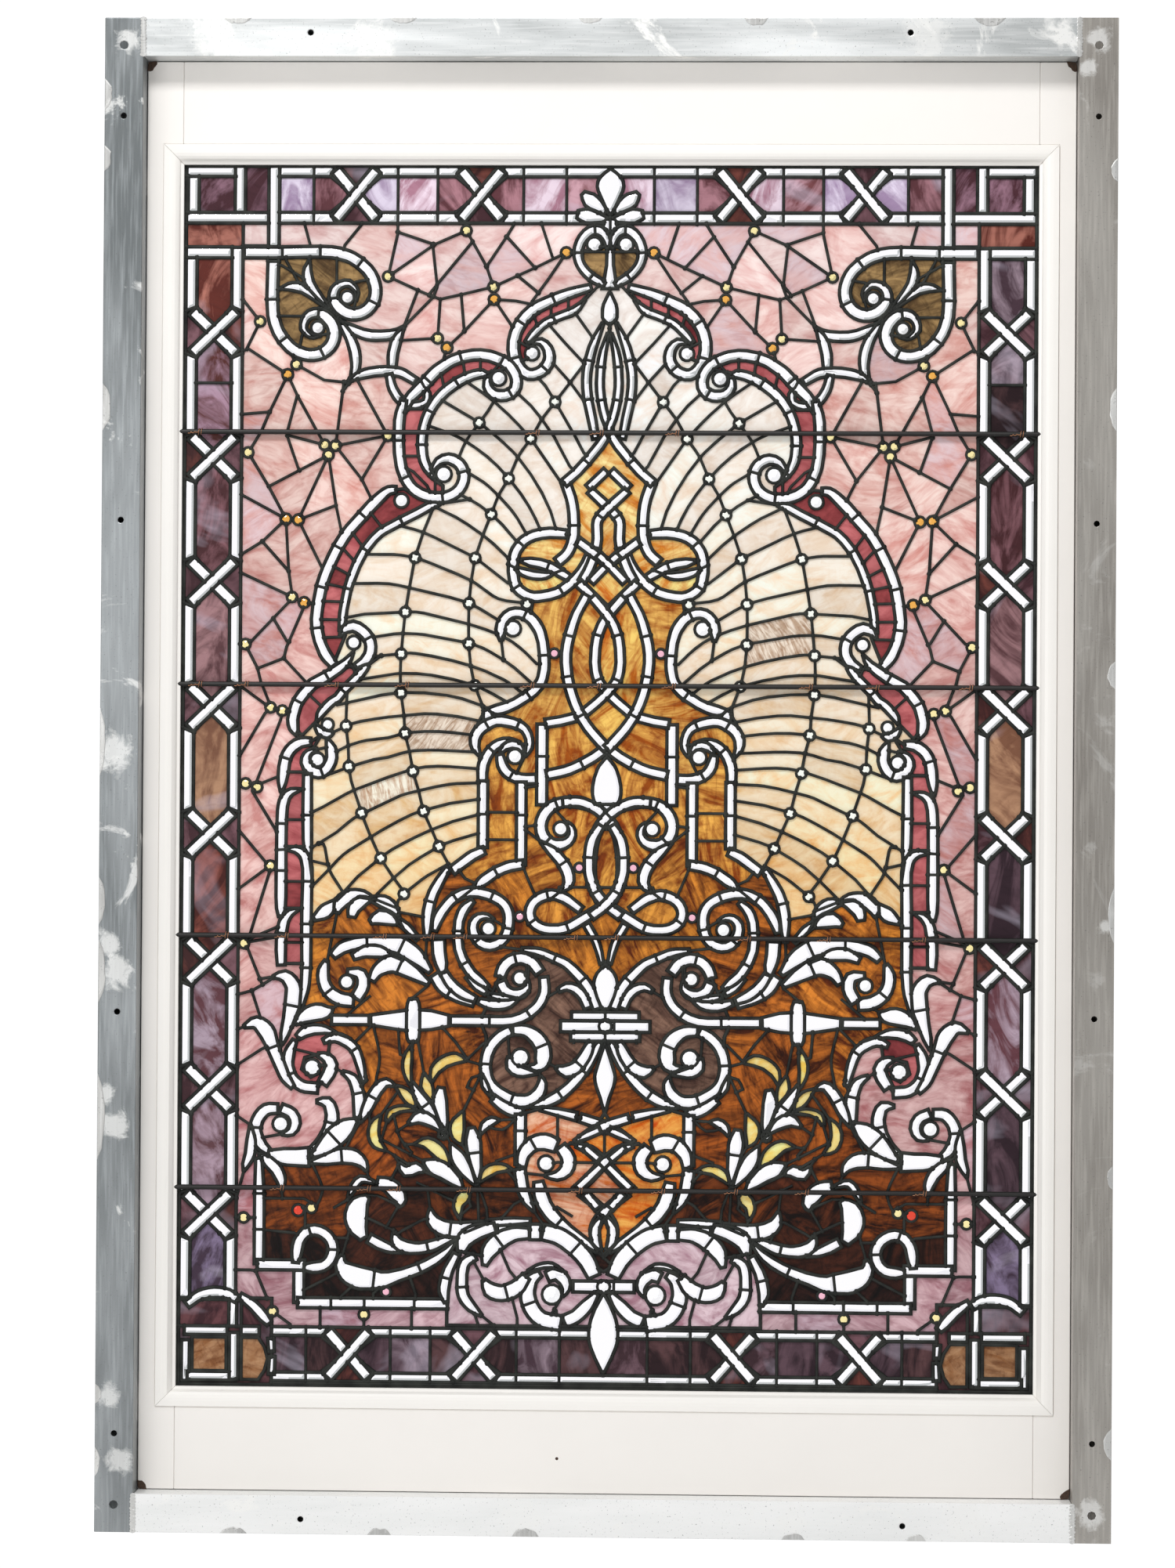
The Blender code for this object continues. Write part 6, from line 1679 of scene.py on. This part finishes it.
def glaze():
    """Every piece of glass and every lead."""
    cartoon = build_cartoon()
    verts, faces, leads, pieces, kinds, cover, spots = part_panel(cartoon)
    opal = {look: Sheets() for look in OPAL_LOOKS}
    clear = Sheets()
    jewels = {kind: Sheets() for kind in JEWELS}
    petals = [(side * x, z) for x, z in PETALS for side in (-1, 1)]
    recolour(verts, faces, pieces, kinds, "bevel", "petal", petals)
    recolour(verts, faces, pieces, kinds, "web", "ripple", REPAIRS)
    for piece, kind, spot in zip(pieces, kinds, spots):
        if not kind or cover[piece].sum() < 9:
            continue
        own = [tuple(faces[f]) for f in piece]
        if kind == "bevel" or kind in JEWELS:
            cut_verts, cut_faces, lift = bevelled(verts, own, kind)
            placed, made, roles = plate(cut_verts, cut_faces, lift, PANE_FRONT, PANE_BACK)
            # The border strips, the head and the foot get the deeper painted shade on their leaning facets
            painted_shade = abs(spot[0]) > IN_X or not FOOT_Z[0] < spot[1] < PAINTED_SHADE_Z
            slots = [facet_slot(*role, painted_shade) for role in roles]
            (clear if kind == "bevel" else jewels[kind]).add(placed, made, slots)
            continue
        placed, made, _ = plate(verts, own, np.zeros(len(verts)), PANE_FRONT, PANE_BACK)
        first, second = tones(kind, spot[0], spot[1])
        turn = math.radians(draw.uniform(-40, 40))
        if kind == "amber":
            turn = draw.uniform(0, math.pi)
        opal[LOOK_OF.get(kind, "plain")].add(
            placed, made, [0] * len(made), first, second, turn, (draw.uniform(0, 9), draw.uniform(0, 9))
        )
    made = []
    for look, sheets in opal.items():
        made.append(sheets.build(f"glass_{look}", [opal_glass(f"opal_{look}", **OPAL_LOOKS[look])]))
    # Clear glass for plain faces, and two tints of it that are painted shade on leaning facets
    bevels = [
        clear_glass("bevel_clear", (0.98, 0.97, 1.0)),
        clear_glass("bevel_painted_soft_shade", (0.72, 0.72, 0.77)),
        clear_glass("bevel_painted_deep_shade", (0.26, 0.28, 0.28)),
    ]
    made.append(clear.build("glass_bevels", bevels))
    tints = {
        "star": (0.98, 0.98, 1.0), "crystal": (0.95, 0.97, 0.9), "citrine": (0.95, 0.82, 0.4),
        "topaz": (0.85, 0.42, 0.08), "rose": (0.92, 0.5, 0.62), "ruby": (0.75, 0.06, 0.03),
    }
    for kind, sheets in jewels.items():
        sets = []
        # Each jewel tint in three strengths: the plain one and two of painted shade
        for n, painted_shade in enumerate(JEWEL_PAINTED_SHADES):
            sets.append(clear_glass(f"{kind}_{n}", tuple(v * painted_shade for v in tints[kind])))
        made.append(sheets.build(f"jewels_{kind}", sets))
    metal = lead()
    front = lead_mesh("leads_front", verts, leads, FRONT_SECTION, PANE_FRONT + 0.0002, LEAD_FRONT, metal, 7)
    back = lead_mesh("leads_back", verts, leads, BACK_SECTION, PANE_BACK - 0.0002, LEAD_BACK, metal, 6)
    for piece in made:
        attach(piece, "root")
    for piece in (front, back):
        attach(piece, "root")
    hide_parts("glass_panes")
    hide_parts("bevelled_straps")
    return metal


def rounded(node, width, segments, mat):
    """A CAD node's shape with its sharp edges eased."""
    source = frame["nodes"][node]
    mesh = source.data.copy()
    mesh.name = node + "_shown"
    made = bpy.data.objects.new(node + "_shown", mesh)
    bpy.context.scene.collection.objects.link(made)
    bm = bmesh.new()
    bm.from_mesh(mesh)
    bmesh.ops.remove_doubles(bm, verts=bm.verts, dist=0.00001)
    bmesh.ops.dissolve_limit(bm, angle_limit=math.radians(1), verts=bm.verts, edges=bm.edges)
    bm.to_mesh(mesh)
    bm.free()
    mesh.materials.clear()
    mesh.materials.append(mat)
    ease = made.modifiers.new("Ease", "BEVEL")
    ease.width = width
    ease.segments = segments
    ease.limit_method = "ANGLE"
    ease.angle_limit = math.radians(40)
    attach(made, "root")
    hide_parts(node)
    return made


FRAME_DEPTH = 0.076
FRAME_FACE = 0.049
FRAME_HALF = 0.642
FRAME_FOOT = -0.0245
FRAME_HEAD = 1.8975
RUBBED = (0.93, 0.93, 0.91)
# Each member's dull and bright tones, its run, its smudges and its rubbed spots (x, z, radius). The tones are
# painted light:
# the head and foot rails near white as a painted highlight, the stiles darker as painted shade. The frame's
# foot rail names its metalness too.
MEMBERS_WITH_PAINTED_LIGHT = {
    "frame_stile_left": (
        (0.15, 0.165, 0.17), (0.32, 0.34, 0.35), "z", 0.6,
        ((-0.625, 0.965, 0.024), (-0.63, 0.72, 0.016), (-0.618, 0.685, 0.02), (-0.632, 0.53, 0.014),
         (-0.62, 0.49, 0.018), (-0.612, 1.868, 0.016), (-0.625, 0.15, 0.016), (-0.61, 0.065, 0.018)),
    ),
    "frame_stile_right": (
        (0.28, 0.26, 0.235), (0.4, 0.38, 0.35), "z", 0.2,
        ((0.618, 1.87, 0.016), (0.605, 1.835, 0.012), (0.616, 0.012, 0.018), (0.63, 0.75, 0.01)),
    ),
    "frame_rail_top": (
        (0.5, 0.52, 0.52), (0.9, 0.92, 0.92), "x", 1.0,
        ((-0.5, 1.875, 0.03), (-0.3, 1.87, 0.03), (0.4, 1.875, 0.03)),
    ),
    "frame_rail_bottom": (
        (0.86, 0.87, 0.86), (0.96, 0.96, 0.95), "x", 1.0,
        ((-0.1, 0, 0.03), (0.24, 0.0, 0.02), (0.46, 0.005, 0.03)), 0.15,
    ),
}
# Rough patches where tabs were cut away, as stretches of each outer edge. The left edge's and the first two
# of the foot's follow the photograph, and the others are placed freely.
LEFT_TABS = (
    (1.780, 1.820), (1.702, 1.735), (1.372, 1.432), (0.934, 1.019), (0.745, 0.805), (0.646, 0.725),
    (0.447, 0.556), (0.138, 0.163), (0.046, 0.083),
)
RIGHT_TABS = ((1.69, 1.72), (1.375, 1.43), (1.05, 1.085), (0.73, 0.80), (0.42, 0.45), (0.08, 0.12))
TOP_TABS = ((-0.49, -0.455), (-0.28, -0.245), (-0.04, -0.01), (0.17, 0.2), (0.46, 0.5))
FOOT_TABS = ((-0.482, -0.448), (-0.295, -0.265), (-0.112, -0.078), (0.228, 0.257), (0.385, 0.41))
TAB_REACH = (0.006, 0.010)
TAB_THICK = 0.0009
TAB_STEPS = 8
WELD_BEADS = 12
WELD_HALF = (0.0035, 0.0048)
WELD_RISE = (0.0007, 0.0013)
WELD_SIDES = 8


def flat_piece(bm, points, back_y, thick):
    """A thin plate with a rounded-off edge, its outline given as (x, z) points."""
    middle = np.mean(points, axis=0)
    rings = []
    for share, rise in ((1.0, 0.0), (0.97, 0.7), (0.8, 1.0)):
        ring = [middle + (np.array(p) - middle) * share for p in points]
        rings.append([bm.verts.new((p[0], back_y - thick * rise, p[1])) for p in ring])
    count = len(points)
    for low, high in zip(rings, rings[1:]):
        for k in range(count):
            bm.faces.new((low[k], low[(k + 1) % count], high[(k + 1) % count], high[k]))
    bm.faces.new(rings[-1])


def scars():
    """What is left of cut tabs on the frame's face, and the weld beads at its corners."""
    bm = bmesh.new()
    for tabs, edge, upright in (
        (LEFT_TABS, -FRAME_HALF, True),
        (RIGHT_TABS, FRAME_HALF, True),
        (TOP_TABS, FRAME_HEAD, False),
        (FOOT_TABS, FRAME_FOOT, False),
    ):
        inward = -1 if edge in (FRAME_HALF, FRAME_HEAD) else 1
        for low, high in tabs:
            depth = draw.uniform(*TAB_REACH)
            outline = []
            for k in range(TAB_STEPS + 1):
                across = depth * (1 - abs(k / (TAB_STEPS / 2) - 1) ** 3) * draw.uniform(0.85, 1.1)
                along = low + (high - low) * (k / TAB_STEPS)
                outline.append((edge + inward * (0.0006 + across), along))
            outline += [(edge + inward * 0.0004, high), (edge + inward * 0.0004, low)]
            points = outline if upright else [(along, across) for across, along in outline]
            flat_piece(bm, points, -FRAME_DEPTH, TAB_THICK)
    for side in (-1, 1):
        joint = side * (FRAME_HALF - FRAME_FACE)
        for low in (FRAME_FOOT, FRAME_HEAD - FRAME_FACE):
            for k in range(WELD_BEADS):
                z = low + FRAME_FACE * (k + 0.5) / WELD_BEADS
                wide, tall = draw.uniform(*WELD_HALF), FRAME_FACE / WELD_BEADS * 0.75
                ring = []
                for n in range(WELD_SIDES):
                    turn = math.pi * n / (WELD_SIDES / 2)
                    ring.append((joint + wide * math.cos(turn), z + tall * math.sin(turn)))
                flat_piece(bm, ring, -FRAME_DEPTH + 0.0002, draw.uniform(*WELD_RISE))
    bmesh.ops.recalc_face_normals(bm, faces=bm.faces)
    for face in bm.faces:
        if face.normal.y > 0.3:
            face.normal_flip()
    mesh = bpy.data.meshes.new("frame_scars")
    bm.to_mesh(mesh)
    bm.free()
    mesh.materials.append(aluminium("scar_metal", (0.4, 0.4, 0.39), (0.72, 0.72, 0.7), "z", 0.4))
    made = bpy.data.objects.new("frame_scars", mesh)
    bpy.context.scene.collection.objects.link(made)
    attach(made, "root")


SASH_FACE_Y = -0.0361
FRAME_INNER = FRAME_HALF - FRAME_FACE
NAIL = (-0.0575, 0.0695)
NAIL_RADIUS = 0.002
NAIL_SIDES = 12
BARE_REACH = (0.0115, 0.0145)
BARE_STEPS = 6


def blemishes():
    """Bare wood showing at the corners of the sash, and a nail hole in its foot, drawn as a flat dark disc of
    bare wood and painted shade.
    """
    bm = bmesh.new()
    for side in (-1, 1):
        for z, rise in ((FRAME_FOOT + FRAME_FACE, 1), (FRAME_HEAD - FRAME_FACE, -1)):
            corner_x = side * FRAME_INNER
            outline = [(corner_x - side * 0.0015, z + rise * 0.0015)]
            for k in range(BARE_STEPS + 1):
                turn = math.pi / 2 * k / BARE_STEPS
                reach = draw.uniform(*BARE_REACH)
                spot = (corner_x - side * reach * math.cos(turn), z + rise * reach * math.sin(turn))
                outline.append(spot)
            flat_piece(bm, outline, SASH_FACE_Y, 0.0002)
    # The nail hole is a flat disc whose dark colour is the painted shade of the hole as well as bare wood
    ring = []
    for n in range(NAIL_SIDES):
        turn = n * math.pi / (NAIL_SIDES / 2)
        ring.append((NAIL[0] + NAIL_RADIUS * math.cos(turn), NAIL[1] + NAIL_RADIUS * math.sin(turn)))
    flat_piece(bm, ring, SASH_FACE_Y, 0.0001)
    bmesh.ops.recalc_face_normals(bm, faces=bm.faces)
    mesh = bpy.data.meshes.new("sash_blemishes")
    bm.to_mesh(mesh)
    bm.free()
    mesh.materials.append(plain("bare_wood_and_painted_hole_shade", (0.09, 0.05, 0.03), 0.8, spread=0.4, scale=300))
    made = bpy.data.objects.new("sash_blemishes", mesh)
    bpy.context.scene.collection.objects.link(made)
    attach(made, "root")


def woodwork():
    """The frame, sash and beads, with their edges eased."""
    wood = paint("sash_paint", srgb(250, 246, 241))
    bead = paint("bead_paint", srgb(252, 249, 244))
    for node in sorted(frame["nodes"]):
        if node in MEMBERS_WITH_PAINTED_LIGHT:
            rounded(node, 1.6 * MM, 2, aluminium(node, *MEMBERS_WITH_PAINTED_LIGHT[node]))
        elif node.startswith("sash_"):
            rounded(node, 0.8 * MM, 1, wood)
        elif node.startswith("bead_"):
            rounded(node, 0.5 * MM, 1, bead)


def dressed(lead_metal):
    """The CAD's own saddle bars and edge leads, with their finishes."""
    steel = plain("saddle_steel", (0.016, 0.015, 0.014), 0.5, 0.3)
    for node, made in frame["nodes"].items():
        mat = steel if node.startswith("saddle_bar") else lead_metal if node.startswith("edge_came") else None
        if mat:
            made.data.materials.clear()
            made.data.materials.append(mat)


TIES = (
    (1220, (523, 92, 8, -85, -523)),
    (897, (523, 463, 345, 257, 97, 8, -85, -257, -345, -463)),
    (576, (487, 405, 285, 220, 180, 40, -15, -180, -285, -405)),
    (254, (410, 300, 260, 170, 32, -75, -170, -260, -410)),
)


def ties():
    """Copper wires soldered to the leads and twisted over the saddle bars."""
    wires = bpy.data.curves.new("copper_ties", "CURVE")
    wires.dimensions = "3D"
    wires.bevel_depth = 0.55 * MM
    wires.bevel_resolution = 1
    for z, places in TIES:
        for x in places:
            lean = draw.uniform(-3, 3)
            loop = []
            for k in range(22):
                turn = 2 * math.pi * k / 10
                out = BAR_R + 0.7 * MM
                along = x + lean + (k - 11) * 0.32
                point = world(along, z, BAR_Y)
                forward, rise = out * math.cos(turn) * 0.82, out * math.sin(turn)
                loop.append((point[0], point[1] + forward, point[2] + rise))
            tail = []
            for k in range(14):
                turn = 2 * math.pi * k / 4.5
                run = k * 1.1
                along = x + lean + run + 1.0 * math.cos(turn)
                point = world(along, z + 1.0 * math.sin(turn) - run * 0.12, BAR_Y)
                tail.append((point[0], point[1] - BAR_R - 0.9 * MM, point[2]))
            for points in (loop, tail):
                spline_made = wires.splines.new("POLY")
                spline_made.points.add(len(points) - 1)
                for spot, place in zip(spline_made.points, points):
                    spot.co = (*place, 1)
    wires.materials.append(plain("copper", (0.42, 0.2, 0.11), 0.42, 0.8))
    made = bpy.data.objects.new("copper_ties", wires)
    bpy.context.scene.collection.objects.link(made)
    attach(made, "root")


CAMERA_PLACE = (0.1931, -6.0, 0.8633)
CAMERA_TURN = (1.5815, -0.0064, 0.0363)
CAMERA_LENS = 107.67
SENSOR = 36
FLOOR_Z = -1.25
BACKDROP_GLOW = 1.05
SKY_GLOW = 0.55


def studio():
    """A pale floor, soft lights and an even sky that is white behind the glass."""
    bpy.ops.mesh.primitive_plane_add(size=14, location=(0, -3.0, FLOOR_Z))
    floor = bpy.context.object
    floor.name = "floor"
    floor.data.materials.append(plain("floor", (0.9, 0.9, 0.9), 0.9, spread=0.99))
    for name, place, size, power in (
        ("key", (-0.7, -3.0, 4.2), 0.8, 84),
        ("fill", (-2.2, -4.2, 1.2), 2.4, 28),
    ):
        data = bpy.data.lights.new(name, "AREA")
        data.size = size
        data.energy = power
        made = bpy.data.objects.new(name, data)
        bpy.context.scene.collection.objects.link(made)
        made.location = place
        made.rotation_euler = (Vector((0, 0, 0.95)) - made.location).to_track_quat("-Z", "Y").to_euler()
    sky = bpy.data.worlds.new("sky")
    sky.use_nodes = True
    nodes, links = sky.node_tree.nodes, sky.node_tree.links
    nodes["Background"].inputs["Color"].default_value = (1, 1, 1, 1)
    toward = nodes.new("ShaderNodeSeparateXYZ")
    links.new(nodes.new("ShaderNodeTexCoord").outputs["Generated"], toward.inputs[0])
    glow = ranged(nodes, links, toward.outputs["Y"], 0.0, 0.4, SKY_GLOW, BACKDROP_GLOW)
    links.new(glow, nodes["Background"].inputs["Strength"])
    bpy.context.scene.world = sky
    data = bpy.data.cameras.new("camera")
    data.sensor_fit = "VERTICAL"
    data.sensor_height = SENSOR
    data.lens = CAMERA_LENS
    camera = bpy.data.objects.new("camera", data)
    camera.location = CAMERA_PLACE
    camera.rotation_euler = CAMERA_TURN
    bpy.context.scene.collection.objects.link(camera)
    bpy.context.scene.camera = camera
    bpy.context.scene.view_settings.view_transform = "Standard"


dressed(glaze())
woodwork()
scars()
blemishes()
ties()
studio()
